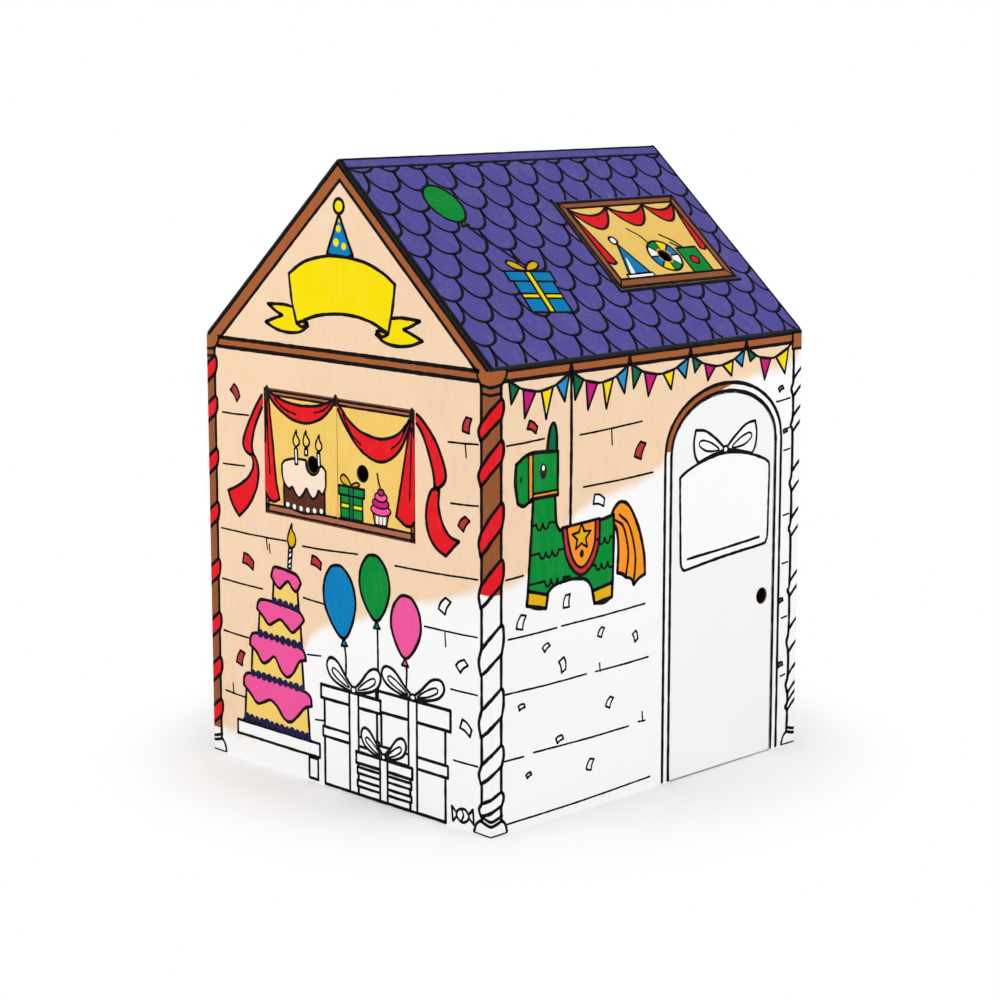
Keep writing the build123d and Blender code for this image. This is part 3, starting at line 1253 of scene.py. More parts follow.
banner_tail = closed(
    [(283, 932), (240, 938), (190, 936)],
    [(214, 924), (234, 917)],
    [(205, 908), (183, 900)],
    [(215, 889), (250, 885), (285, 889), (310, 902)],
)
banner_body = closed(
    [(255, 999), (300, 1024), (360, 1038), (410, 1040), (470, 1034), (520, 1018), (556, 998)],
    [(548, 950), (537, 907)],
    [(480, 926), (415, 932), (340, 925), (276, 905)],
    [(262, 950), (255, 999)],
)
banner_fold = closed([(276, 905), (292, 899), (308, 908)], [(290, 909), (276, 905)])
hat_cone = closed(
    [(372, 1042), (390, 1081), (407, 1118)], [(425, 1081), (445, 1042)], [(409, 1034), (372, 1042)]
)
hat_dots = (((405, 1090), 7), ((398, 1064), 8), ((420, 1058), 7), ((409, 1106), 4), ((429, 1074), 4))


def with_twin(runs, middle):
    """A figure and its reflection about an upright line."""
    return runs, [[(2 * middle - u, v) for u, v in run] for run in runs]


for colour, level, part in (("lemon", 2, banner_tail), ("gold", 3, banner_fold)):
    for runs in with_twin(part, BANNER_MIDDLE):
        figure(front, colour, moved(runs, BANNER_SPOT), level=level)
colour_in(front, "blue", hat_cone, 2)
for spot, radius in hat_dots:
    colour_in(front, "lemon", ring(spot, radius), 3)
draw(front, hat_cone, 5.5, 4)
figure(front, "lemon", moved(banner_body, BANNER_SPOT), level=5)
figure(front, "lemon", ring((407, 1132), 14), level=5)
print("banner body from", banner_body[0][0], "to", banner_body[1][0])

# %% [markdown]
# Confetti flutters over every wall. Each scrap is a small four-cornered paper with one curved side,
# turned its own way, red where the wall is coloured and white where it isn't.

# %% Confetti
SCRAP = closed([(-11, 7), (-2, 9), (9, 6)], [(11, -6)], [(0, -5), (-9, -8)])


def confetti(page, colour, scraps, thick=4.0):
    """Scraps of paper: (u, v, degrees, size)."""
    for u, v, turn, size in scraps:
        figure(page, colour, moved(SCRAP, (u, v), turn, (size * 1.2, size)), thick, 1)


confetti(front, "brick", (
    (90, 749, -52, 1.2), (750, 757, 72, 1.15), (741, 576, 48, 1.1), (330, 441, -20, 1.2),
    (122, 412, -22, 1.4), (93, 210, 66, 1.2),
))
confetti(front, "white", ((690, 416, 55, 1.25), (735, 311, 35, 1.1), (745, 195, -30, 1.2)))
print("scraps on the front", 9)

# %% [markdown]
# The tiered cake stands on a low table. Every tier is the same drawing at another size: a sponge
# body, and icing whose hem drips down in front. A short list of depths describes the drips.

# %% Cake
ICING_SHARE = 0.62
TIER_LEVEL = 2


def cake_tier(page, left, right, bottom, top, drips):
    """A tier with its icing. drips says how far down the hem hangs, from left to right."""
    width = right - left
    foot = bottom + (top - bottom) * ICING_SHARE
    sponge = corners(
        (left, bottom), (right, bottom - 4), (right - 5, foot + 8), (left + 5, foot + 8)
    )
    figure(page, "sponge", sponge, level=TIER_LEVEL)
    count = len(drips) - 1
    hem = [(left - 3 + (width + 10) * i / count, foot - depth) for i, depth in enumerate(drips)]
    crown = [
        (right + 3, top - 15), (right - width * 0.1, top - 6), (left + width * 0.5, top - 1),
        (left + width * 0.1, top), (left, top - 10), hem[0],
    ]
    figure(page, "pink", closed(hem, crown), level=TIER_LEVEL + 1)


TIERS = (
    (104, 304, 88, 184, (-8, 6, 22, 16, 8, 18, 38, 40, 24, 4, -4)),
    (126, 288, 182, 270, (-6, 4, 24, 18, 6, 30, 40, 28, 2, -4)),
    (150, 284, 268, 342, (-6, 6, 20, 12, 4, 14, 24, 12, -6)),
    (196, 276, 342, 414, (-6, 8, 14, 4, -4, 8, 12, -6)),
)
for tier in TIERS:
    cake_tier(front, *tier)
print("tiers", len(TIERS))

# %% [markdown]
# Beads run along the foot of each tier. A tree spaces points along a line and sets a small dome on
# each, with a little chance in its size that comes from a fixed seed.

# %% Bead tree
bead_row, t, given, result = geometry_group("bead_row", {
    "Pitch": "value", "Radius": "value", "Height": "value", "Scatter": "value", "Seed": "whole",
    "Bead": "material",
})
paths = t.out("GeometryNodeMeshToCurve", {0: given["Geometry"]})
spaced = t.out("GeometryNodeResampleCurve", {0: paths, "Length": given["Pitch"]}, mode="LENGTH")
ball = t.out("GeometryNodeMeshUVSphere", {"Segments": 12, "Rings": 8, "Radius": 1.0})
spread = {2: t.minus(1.0, given["Scatter"]), 3: t.add(1.0, given["Scatter"]), "Seed": given["Seed"]}
chance = t.node("FunctionNodeRandomValue", spread, data_type="FLOAT").outputs[1]
width = t.times(given["Radius"], chance)
size = t.vector(width, width, given["Height"])
beads = t.out("GeometryNodeInstanceOnPoints", {0: spaced, "Instance": ball, "Scale": size})
solid = t.out("GeometryNodeRealizeInstances", {0: beads})
x, y, z = t.split(t.out("GeometryNodeInputPosition"))
seated = t.vector(x, y, t.most(z, 0.0))
domes = t.out("GeometryNodeSetPosition", {0: solid, "Position": seated})
t.feed(result[0], t.out("GeometryNodeSetMaterial", {0: domes, "Material": given["Bead"]}))
print("tree", bead_row.name, "with", len(bead_row.nodes), "nodes")

# %% Beads
BEAD_PITCH = 15.5 * MM
BEAD_RADIUS = 9.5 * MM
BEAD_HEIGHT = 0.4 * MM
BEAD_SCATTER = 0.12
BEAD_SEED = 7

bead_lines = []
for left, right, bottom, *_ in TIERS:
    bead_lines.append(([(left + 6, bottom + 3), (right - 6, bottom - 1)], 0, 0))
    draw(front, [[(left - 4, bottom - 4), (right + 4, bottom - 8)]], 5.5, 2.5)
sizes = {
    "Pitch": BEAD_PITCH, "Radius": BEAD_RADIUS, "Height": BEAD_HEIGHT, "Scatter": BEAD_SCATTER,
    "Seed": BEAD_SEED, "Bead": paints["navy"],
}
settle(grown(paths_mesh(bead_lines), bead_row, sizes), front, "cake_beads")

# %% Candle and table
CANDLE_SPOT = (251, 438)
CANDLE_TURN = -6

figure(front, "white", moved(rectangle(-5, -20, 5, 20), CANDLE_SPOT, CANDLE_TURN), 4.0, 2)
for height in (-12, 0, 12):
    stripe = [[(-4, height - 3), (4, height + 4)]]
    draw(front, moved(stripe, CANDLE_SPOT, CANDLE_TURN), 3.5, 3)
flame = closed(
    [(249, 462), (258, 460), (267, 468), (269, 478)],
    [(266, 488), (259, 496), (258, 508)],
    [(251, 494), (246, 482), (245, 472), (249, 462)],
)
figure(front, "gold", flame, 4.0, 2)
for table_part in (rectangle(80, 52, 334, 80), rectangle(302, 6, 328, 48)):
    figure(front, "white", table_part, 5.0, 1)
print("flame at", flame[0][0])

# %% Balloons
KNOT_SIZE = 9.0
BALLOON_LEVEL = 3
BULB = ((0.5, -0.72), (0.93, -0.1), (0.86, 0.5), (0.42, 0.92))


def balloon(page, colour, centre, radii, string, turn):
    """A balloon with its knot. The thread follows the run that string gives."""
    wide, tall = radii
    left_side = [(-wide * a, tall * b) for a, b in BULB]
    right_side = [(wide * a, tall * b) for a, b in reversed(BULB)]
    bulb = [[(0, -tall), *left_side, (0, tall), *right_side, (0, -tall)]]
    foot = -tall - KNOT_SIZE * 1.6
    draw(page, [string], 4.8, BALLOON_LEVEL - 1)
    tie = corners((0, -tall), (-KNOT_SIZE, foot), (KNOT_SIZE, foot))
    figure(page, colour, moved(tie, centre, turn), 4.0, BALLOON_LEVEL)
    figure(page, colour, moved(bulb, centre, turn), 5.5, BALLOON_LEVEL + 1)


balloon(front, "blue", (398, 375), (48, 71), [(410, 292), (414, 266), (413, 228)], 8)
balloon(front, "green", (498, 418), (44, 63), [(505, 345), (506, 270), (505, 204)], 4)
balloon(front, "pink", (584, 357), (43, 60), [(585, 289), (586, 267), (584, 233)], -2)
print("balloons", 3)

# %% [markdown]
# The gift boxes are still white. Each one is a body with a lid, a ribbon down the middle, a band
# across and a bow on top, drawn back to front, so a nearer box covers a farther one.

# %% Gift boxes
BOX_FOOT = 4
BOW_LINE = 5.0
BOW_LOOP = [[
    (0, 0), (0.28, 0.42), (0.62, 0.92), (0.9, 1.0), (1.02, 0.7), (0.86, 0.3), (0.45, 0.06), (0, 0)
]]
BOW_FOLD = [[(0.16, 0.1), (0.46, 0.46), (0.76, 0.66), (0.8, 0.48), (0.5, 0.22), (0.16, 0.1)]]


def bow(page, spot, wide, tall, level):
    """A bow with two outer loops, two inner folds and a knot."""
    for side in (-1, 1):
        size = (side * wide, tall)
        figure(page, "white", moved(BOW_LOOP, spot, size=size), BOW_LINE, level)
        draw(page, moved(BOW_FOLD, spot, size=size), BOW_LINE * 0.7, level + 1)
    knot = moved(ring((0, 0.04), 0.1, 0.12), spot, size=(wide, tall))
    figure(page, "white", knot, BOW_LINE * 0.8, level + 2)


def gift(page, left, right, top, lid, overhang, ribbon, bands, level):
    """A box: a body, a lid and bands round it, and a ribbon down the front over all of them."""
    figure(page, "white", rectangle(left, BOX_FOOT, right, top - lid), 5.5, level)
    left, right = left - overhang, right + overhang
    figure(page, "white", rectangle(left, top - lid, right, top), 5.5, level + 1)
    for low, high in bands:
        strap = rectangle(left + overhang / 2, low, right - overhang / 2, high)
        figure(page, "white", strap, 5.0, level + 1)
    figure(page, "white", rectangle(ribbon[0], BOX_FOOT, ribbon[1], top), 5.0, level + 2)


gift(front, 514, 690, 220, 40, 14, (590, 613), ((90, 113),), 1)
bow(front, (602, 224), 84, 48, 4)
gift(front, 350, 502, 202, 26, 10, (423, 449), ((100, 119),), 5)
bow(front, (436, 206), 76, 54, 8)
gift(front, 448, 594, 88, 22, 6, (510, 531), ((20, 32), (46, 58)), 9)
bow(front, (520, 91), 62, 48, 12)
print("gift boxes", 3)

# %% Sweet
SWEET_MIDDLE = (736, 28)
sweet = [[(722, 20), (735, 14), (748, 20), (752, 30), (742, 40), (728, 38), (720, 30), (722, 20)]]
figure(front, "white", sweet, 4.5, 2)
for side in (1, -1):
    wrapper = moved(corners((12, 0), (28, 14), (28, -14)), SWEET_MIDDLE, 5, (side, 1))
    figure(front, "white", wrapper, 4.5, 1)
draw(front, [[(733, 17), (738, 28), (733, 38)]], 3.5, 3)
print("sweet at", SWEET_MIDDLE)

# %% [markdown]
# ## The window
# The window is one picture on three sheets: the wall and the two leaves. Each part of the picture
# is drawn once for each sheet that it touches, and the boxes of the pages keep only what belongs
# there. The wall's part keeps clear of the creases, where the leaves turn.

# %% Sheets of the window
CREASE_CLEARANCE = 2.0
HEAD_CLEARANCE = 0.2
WINDOW_LEFT, WINDOW_BOTTOM, _, WINDOW_TOP = LEFT_LEAF_BOX
WINDOW_RIGHT = RIGHT_LEAF_BOX[2]
clear_left, clear_right = WINDOW_LEFT - CREASE_CLEARANCE, WINDOW_RIGHT + CREASE_CLEARANCE
around_window = front.part([
    (0, 0, clear_left, APEX),
    (clear_left, WINDOW_TOP + HEAD_CLEARANCE, clear_right, APEX),
    (clear_right, 0, WIDTH, APEX),
])
leaves = (left_leaf, right_leaf)
print("window from", round(WINDOW_LEFT), "to", round(WINDOW_RIGHT))

# %% Window frame
FRAME_LINE = 4.0
FRAME_INSET = 3.4
BAR_FOOT = WINDOW_TOP - 12
SILL_TOP = WINDOW_BOTTOM + 17
JAMB = 11
LEFT_JAMB = WINDOW_LEFT + JAMB
RIGHT_JAMB = WINDOW_RIGHT - JAMB

frame_bars = (
    (WINDOW_LEFT, BAR_FOOT, WINDOW_RIGHT, WINDOW_TOP),
    (WINDOW_LEFT, WINDOW_BOTTOM, WINDOW_RIGHT, SILL_TOP),
    (WINDOW_LEFT, SILL_TOP, LEFT_JAMB, BAR_FOOT),
    (RIGHT_JAMB, SILL_TOP, WINDOW_RIGHT, BAR_FOOT),
)
frame_lines = [
    [(WINDOW_LEFT, height), (WINDOW_RIGHT, height)]
    for height in (WINDOW_TOP - FRAME_INSET, BAR_FOOT, SILL_TOP, WINDOW_BOTTOM + FRAME_INSET)
] + [
    [(side, WINDOW_BOTTOM), (side, WINDOW_TOP)]
    for side in (WINDOW_LEFT + FRAME_INSET, LEFT_JAMB, RIGHT_JAMB, WINDOW_RIGHT - FRAME_INSET)
] + [
    [(start, WINDOW_BOTTOM), (end, SILL_TOP)]
    for start, end in ((WINDOW_LEFT, LEFT_JAMB), (WINDOW_RIGHT, RIGHT_JAMB))
]
for leaf in leaves:
    for bar in frame_bars:
        colour_in(leaf, "frame", rectangle(*bar), 1)
    draw(leaf, frame_lines, FRAME_LINE, 2)
print("frame lines", len(frame_lines))

# %% [markdown]
# Red cloth hangs from three knots. A swag is bounded by two soft runs between the knots, and a few
# lines in it show the folds. The long ribbons beside the window turn over once on their way down.

# %% Curtains
CLOTH_LINE = 5.0
FOLD_LINE = 3.5
KNOT_SPOTS = ((188, 761), (392, 763), (605, 760))


def swag(page, knots, upper, lower, folds=()):
    """Cloth between two knots; upper and lower are the points between them."""
    start, end = knots
    cloth = closed([start, *upper, end], [*reversed(lower), start])
    figure(page, "red", cloth, CLOTH_LINE, 4)
    draw(page, folds, FOLD_LINE, 4.5)


left_swag = dict(
    knots=((190, 764), (392, 766)),
    upper=((216, 754), (252, 746), (297, 744), (345, 750)),
    lower=((204, 745), (228, 729), (262, 715), (302, 711), (341, 721), (371, 741)),
    folds=([(212, 750), (240, 733), (275, 725)], [(376, 756), (356, 742), (330, 734)]),
)
right_swag = dict(
    knots=((392, 766), (606, 758)),
    upper=((410, 748), (430, 730), (465, 712), (517, 705), (560, 716), (588, 738)),
    lower=((402, 742), (420, 718), (452, 685), (488, 666), (521, 662), (553, 675), (577, 698), (594, 730)),
    folds=(
        [(412, 740), (436, 706), (462, 688)],
        [(594, 744), (572, 708), (548, 690)],
        [(596, 750), (580, 722)],
    ),
)
inner_left = closed(
    [(189, 758), (186, 727), (181, 661), (179.5, 594), (179.5, 562)],
    [(190, 549), (205, 545), (222, 552)],
    [(212, 590), (204, 660), (197, 712), (193, 752), (189, 758)],
)
inner_right = closed(
    [(607, 756), (610.5, 681), (610, 618), (609, 560)],
    [(600, 551), (584, 551), (560, 564)],
    [(568, 600), (577, 640), (588, 690), (600, 741), (607, 756)],
)
inner_folds = [[(188, 730), (190, 660), (194, 600)], [(603, 735), (600, 660), (597, 600)]]
knot = closed([(-9, -2), (-6, 7), (0, 14), (6, 7), (9, -2)], [(4, -10)], [(-4, -10)])
for leaf in leaves:
    for panel in (inner_left, inner_right):
        figure(leaf, "red", panel, CLOTH_LINE, 3)
    draw(leaf, inner_folds, FOLD_LINE, 4)
    swag(leaf, **left_swag)
    swag(leaf, **right_swag)
    for spot in KNOT_SPOTS:
        colour_in(leaf, "ink_black", moved(knot, spot), 7)
print("swags", 2)

# %% Ribbons beside the window
left_ribbon = closed(
    [(183, 764), (160, 738), (138, 706), (120, 675), (112, 652), (118, 637), (133, 630)],
    [(143, 632)],
    [(139, 650), (148, 684), (166, 718), (186, 752), (183, 764)],
)
left_tail = closed(
    [(137, 630), (143, 616), (139, 600), (122, 580), (92, 562), (62, 549)],
    [(74, 524), (95, 501)],
    [(125, 526), (149, 560), (158, 592), (155, 616), (144, 632), (137, 630)],
)
right_ribbon = closed(
    [(613, 765), (636, 750), (664, 722), (684, 689), (694, 659), (688, 643), (674, 632)],
    [(664, 634)],
    [(663, 650), (656, 674), (645, 703), (630, 731), (614, 750), (613, 765)],
)
right_tail = closed(
    [(676, 631), (675, 595), (686, 566), (704, 547), (728, 541)],
    [(711, 526), (693, 509)],
    [(668, 520), (649, 542), (641, 572), (645, 604), (657, 627), (676, 631)],
)
for level, cloth in ((2, left_tail), (2, right_tail), (4, left_ribbon), (4, right_ribbon)):
    figure(around_window, "red", cloth, 5.5, level)
for spot in KNOT_SPOTS:
    colour_in(around_window, "ink_black", moved(knot, spot), 5)
print("ribbons", 4)

# %% [markdown]
# Three things stand on the sill. They keep clear of the finger holes, so the cake's icing is cut
# round the hole that is in front of it.

# %% A cake on the sill
HOLE = (WINDOW_LEFT + 145, WINDOW_BOTTOM + 112)
HOLE_RIM = 20.0


def around(centre, radius, angles):
    """Points on a circle at some angles."""
    return [(centre[0] + radius * cos(angle), centre[1] + radius * sin(angle)) for angle in angles]


body = closed([(236, 600), (236, 542)], [(296, 534), (357, 542)], [(357, 600)])
round_hole = around(HOLE, HOLE_RIM, [radians(angle) for angle in range(-180, 1, 30)])
hole_left = round_hole[0][0]
icing = closed(
    [(231, 622), (240, 631), (262, 637), (284, 639), (hole_left, 639)],
    [round_hole[0]],
    round_hole[1:],
    [(352, 632), (361, 624)],
    [(361, 600), (358, 588), (350, 578), (340, 584), (333, 572), (322, 566), (312, 574), (304, 584),
     (294, 572), (282, 563), (270, 571), (262, 582), (252, 577), (240, 584), (232, 600), (231, 622)],
)
figure(left_leaf, "chocolate", body, 4.5, 3)
figure(left_leaf, "icing", icing, 4.5, 4)
for i in range(6):
    colour_in(left_leaf, "white", ring((247 + 20 * i, 545 - 3 * sin(pi * i / 5)), 5), 5)
candle_flame = closed([(0, 0), (8, 8), (8, 18), (2, 26), (0, 38)], [(-5, 26), (-8, 14), (-6, 5), (0, 0)])
for u, foot, top, lean in ((275, 628, 659, 3), (304, 649, 661, -2), (342, 631, 657, 4)):
    stick = moved(rectangle(-4, 0, 4, top - foot), (u, foot), lean)
    lit = moved(candle_flame, (u - lean * 0.4, top + 3), -lean, (1.1, 0.85))
    figure(left_leaf, "white", stick, 3.5, 5)
    figure(left_leaf, "sponge", lit, 3.8, 5)
print("hole of the left leaf", HOLE)

# %% A gift and a cupcake on the sill
figure(right_leaf, "green", rectangle(404, 541, 466, 590), 4.0, 3)
colour_in(right_leaf, "lemon", rectangle(404, 562, 466, 569), 3.2)
draw(right_leaf, [[(404, 561), (466, 561)], [(404, 570), (466, 570)]], 2.6, 4)
figure(right_leaf, "deep_green", rectangle(428, 541, 440, 590), 2.6, 5)
figure(right_leaf, "green", rectangle(399, 586, 471, 603), 4.0, 6)
figure(right_leaf, "deep_green", rectangle(427, 586, 441, 603), 2.6, 7)
loop = [[(0, 0), (0.3, 0.7), (0.75, 1.0), (1.0, 0.6), (0.7, 0.15), (0, 0)]]
for size in ((-30, 21), (24, 10)):
    figure(right_leaf, "gold", moved(loop, (434, 604), size=size), 3.5, 5)

wrapper = corners((501, 541), (533, 541), (540, 566), (494, 566))
figure(right_leaf, "frame", wrapper, 3.5, 3)
for u in (507, 517, 527):
    colour_in(right_leaf, "white", corners((u - 3, 542), (u + 3, 542), (u + 4, 565), (u - 3, 565)), 3.4)
for level, spot, wide, tall, colour in (
    (4, (517, 570), 28, 11, "pink"), (5, (517, 583), 23, 10, "magenta"),
    (6, (518, 595), 17, 9, "pink"), (7, (518, 604), 9, 6, "magenta"),
):
    figure(right_leaf, colour, ring(spot, wide, tall), 3.2, level)
draw(right_leaf, [[(519, 607), (512, 622), (508, 638)]], 3.5, 6)
print("cupcake at", (517, 570))

# %% [markdown]
# ## The door wall
# Boards again, a brown fascia under the eave, a post at the far corner, and flags on a cord. The
# boards stop at the door's frame.

# %% Boards of the door wall
DOOR_BOARDS = (
    (36, 434, 18, 24), (32, 84, 139, 138), (110, 371, 140, 138), (399, 419, 141, 140), (36, 252, 264, 263),
    (277, 426, 263, 265), (44, 171, 365, 366), (184, 415, 367, 372),
    (38, 82, 476, 478), (241, 434, 621, 625), (40, 137, 721, 724), (231, 402, 720, 727),
    (806, 850, 722, 726), (832, 852, 664, 666), (832, 852, 620, 622), (834, 852, 486, 488),
    (834, 852, 386, 388), (834, 852, 272, 274), (834, 850, 150, 152),
)
board_lines(door_wall, DOOR_BOARDS)
short_lines(door_wall, ((317, 720, 692), (288, 277, 261), (410, 159, 139)))
print("boards", len(DOOR_BOARDS))

# %% Fascia
FASCIA = (838, POST_HEAD)
FASCIA_JOINTS = (207, 366, 540, 708)
NEAR_END = 34
FAR_END = 852


def fascia(page, left, right, joints):
    """The board under the eave, with a joint wherever the cord is tied."""
    colour_in(page, "brown", rectangle(left, FASCIA[0], right, FASCIA[1]), 2)
    draw(page, [[(left, FASCIA[1] - 2), (right, FASCIA[1] - 2)]], 4.0, 3)
    draw(page, [[(left, FASCIA[0]), (right, FASCIA[0])]], 6.0, 3)
    for u in joints:
        draw(page, [[(u - 5, FASCIA[0]), (u, FASCIA[1] - 4), (u + 5, FASCIA[0])]], 5.0, 3.5)


fascia(door_wall, NEAR_END, FAR_END, FASCIA_JOINTS)
print("fascia", FASCIA)

# %% [markdown]
# The cord sags between the joints. It is a parabola, and the flags hang from points spread along
# it, so one short function makes each stretch. The outer flags lean outwards.

# %% Flags on a cord
FLAG_COLOURS = ("deep_green", "magenta", "lemon", "sky")
CORD_TOP = 840
CORD_SAG = 28


def bunting(page, left, right, sizes):
    """Flags between two joints; sizes gives (place along the cord, width, length, lean, colour)."""
    def cord(share):
        return (left + (right - left) * share, CORD_TOP - 4 * CORD_SAG * share * (1 - share))

    draw(page, [[cord(i / 8) for i in range(9)]], 4.0, 6)
    for share, width, length, lean, colour in sizes:
        half = width / (right - left) / 2
        middle = cord(share)
        tip = (middle[0] + lean, middle[1] - length)
        flag = corners(cord(share - half), cord(share + half), tip)
        figure(page, FLAG_COLOURS[colour], flag, 4.5, 4)


BUNTING = (
    (42, 206, ((0.10, 26, 34, -7, 0), (0.34, 32, 48, -12, 1), (0.62, 30, 54, -3, 2), (0.87, 34, 40, 5, 3))),
    (208, 366, ((0.11, 28, 42, -8, 0), (0.34, 30, 50, -10, 1), (0.62, 28, 52, -4, 2), (0.87, 32, 42, 6, 3))),
    (368, 540, ((0.10, 28, 38, -8, 0), (0.33, 34, 42, -6, 1), (0.63, 32, 34, 8, 2), (0.87, 34, 30, 8, 3))),
    (542, 708, ((0.10, 28, 24, -5, 0), (0.34, 32, 28, -6, 1), (0.66, 32, 26, 12, 2), (0.88, 30, 24, 8, 3))),
    (710, 856, ((0.10, 28, 18, -4, 0), (0.40, 34, 42, -2, 1), (0.76, 40, 42, 10, 2))),
)
for left, right, flags in BUNTING:
    bunting(door_wall, left, right, flags)
draw(door_wall, [[(207, 836), (208, 700), (206, 556)]], 6.0, 2)
print("flags", sum(len(stretch[2]) for stretch in BUNTING))

# %% [markdown]
# A paper donkey hangs from the joint by a rope. It is built from soft closed runs: legs with
# hooves, a fringed body, a neck, a head with a long ear, a saddle cloth and a tail.

# %% Paper donkey
DONKEY_LINE = 6.0
tail = closed(
    [(314, 548), (326, 570), (346, 580), (370, 566), (396, 520), (411, 470), (414, 430)],
    [(396, 424), (382, 414)],
    [(376, 426), (360, 432)],
    [(350, 440), (336, 444)],
    [(338, 490), (332, 530), (314, 548)],
)
figure(door_wall, "orange", tail, DONKEY_LINE, 2)
draw(door_wall, [
    [(330, 546), (352, 530), (366, 480), (360, 434)],
    [(340, 556), (368, 530), (386, 470), (382, 418)],
], 4.5, 3)
coat = closed(
    [(108, 618), (104, 560), (99, 500), (95, 450), (92, 421)],
    [(118, 411), (142, 408)],
    [(146, 434), (166, 447), (205, 452), (246, 446), (264, 428), (273, 396)],
    [(297, 393), (321, 400)],
    [(324, 470), (325, 530), (324, 558)],
    [(286, 553), (230, 553), (178, 548)],
    [(168, 566), (165, 618)],
)
figure(door_wall, "green", coat, DONKEY_LINE, 4)
ear = closed([(142, 690), (150, 735), (160, 750), (168, 735), (170, 690)])
figure(door_wall, "deep_green", ear, DONKEY_LINE, 3)
head = closed(
    [(64, 684), (100, 700), (172, 697)],
    [(172, 616)],
    [(104, 616)],
    [(84, 606), (68, 612)],
    [(62, 650), (64, 684)],
)
figure(door_wall, "green", head, DONKEY_LINE, 5)
figure(door_wall, "orange", corners((95, 700), (107, 701), (107, 612), (96, 610)), 4.0, 5.5)
figure(door_wall, "orange", rectangle(107, 617, 172, 625), 4.0, 6)
colour_in(door_wall, "ink_black", ring((134, 664), 9, 15), 6)
colour_in(door_wall, "white", ring((134, 670), 3.5, 5), 7)
colour_in(door_wall, "ink_black", ring((76, 655), 3, 6), 6)
hooves = (
    ((92, 420), (142, 407), (147, 432), (95, 447)), ((273, 395), (321, 400), (322, 428), (267, 420)),
)
for hoof in hooves:
    figure(door_wall, "gold", corners(*hoof), DONKEY_LINE, 5)
print("donkey from", coat[0][0])

# %% Fringes and saddle cloth
FRINGE_STEP = 17.0
FRINGE_DROP = 11.0


def fringe(page, left, right, height, start, count):
    """A level seam across the coat, with a few hanging curves from start on."""
    end = start + FRINGE_STEP * count
    row = [[(left, height), (start, height + 1)], [(end, height + 1), (right, height)]]
    for i in range(count):
        row.append([
            (start + FRINGE_STEP * (i + share), height + 1 - FRINGE_DROP * sin(pi * share) ** 0.6)
            for share in (0, 0.2, 0.5, 0.8, 1)
        ])
    draw(page, row, 4.0, 6)


FRINGES = (
    (107, 164, 566, 116, 2), (102, 190, 512, 124, 3), (97, 206, 458, 138, 3), (272, 323, 516, 282, 2),
    (262, 323, 468, 274, 3),
)
for seam in FRINGES:
    fringe(door_wall, *seam)
saddle = closed(
    [(184, 552), (286, 556)],
    [(284, 510), (268, 474), (240, 456), (214, 468), (194, 500), (184, 552)],
)
figure(door_wall, "brick", saddle, 5.0, 6)
cloth = closed(
    [(196, 552), (274, 555)],
    [(272, 514), (258, 484), (238, 470), (218, 482), (204, 512), (196, 552)],
)
figure(door_wall, "orange", cloth, 4.5, 7)
colour_in(door_wall, "ink_black", ring((237, 496), 6, 8), 8)
sun = []
for i in range(10):
    sun += around((236, 528), (26, 12)[i % 2], [pi * i / 5 + pi / 2])
figure(door_wall, "gold", corners(*sun), 4.0, 8)
print("fringes", len(FRINGES))

# %% Confetti of the door wall
confetti(door_wall, "brick", ((106, 748, -30, 1.0), (398, 672, 60, 1.3)))
confetti(door_wall, "white", (
    (284, 590, -20, 1.2), (198, 412, 80, 1.0), (78, 392, 65, 1.1), (143, 334, 30, 0.7),
    (292, 337, 60, 0.75), (187, 292, -75, 1.0), (388, 312, -70, 0.75), (79, 233, 10, 0.6),
    (317, 196, 55, 0.85), (180, 152, 15, 0.7), (98, 100, 20, 0.5), (264, 85, 65, 0.9),
), 3.6)
confetti(door_wall, "ink_grey", (
    (820, 748, 20, 0.6), (836, 660, 10, 0.5), (832, 310, 10, 0.5), (834, 175, 5, 0.6),
), 3.6)
print("scraps on the door wall", 18)

# %% [markdown]
# The door's frame is a wide printed arch. Its inner edge is the cut of the door itself, so only its
# outer line and a second line just outside the cut are drawn. An ellipse's quarter gives each side.

# %% Door frame
DOOR_LEFT, _, DOOR_RIGHT, DOOR_TOP = DOOR_BOX
DOOR_MIDDLE = (DOOR_LEFT + DOOR_RIGHT) / 2
SPRINGING = 650.0
FRAME_OUT = 23.0
FRAME_IN = 5.6
FRAME_FOOT = 5


def arch(out, start=0, end=180):
    """Points of the arch that lies a distance outside the door's cut, between two angles."""
    wide = (DOOR_RIGHT - DOOR_LEFT) / 2 + out
    tall = DOOR_TOP - SPRINGING + out * 0.92
    angles = [radians(start + (end - start) * i / 12) for i in range(13)]
    return [(DOOR_MIDDLE - wide * cos(angle), SPRINGING + tall * sin(angle)) for angle in angles]


for out in (FRAME_OUT, FRAME_IN):
    line = arch(out)
    left_foot, right_foot = ((end[0], FRAME_FOOT) for end in (line[0], line[-1]))
    draw(door_wall, [[left_foot, line[0]], line, [line[-1], right_foot]], 6.2, 1.5)
crown_outer = arch(FRAME_OUT, 4, 100)
crown_inner = arch(FRAME_IN, 4, 74)[::-1]
colour_in(door_wall, "brown", closed(crown_outer, [crown_inner[0]], crown_inner[1:]), 1)
print("door from", round(DOOR_LEFT), "to", round(DOOR_RIGHT))

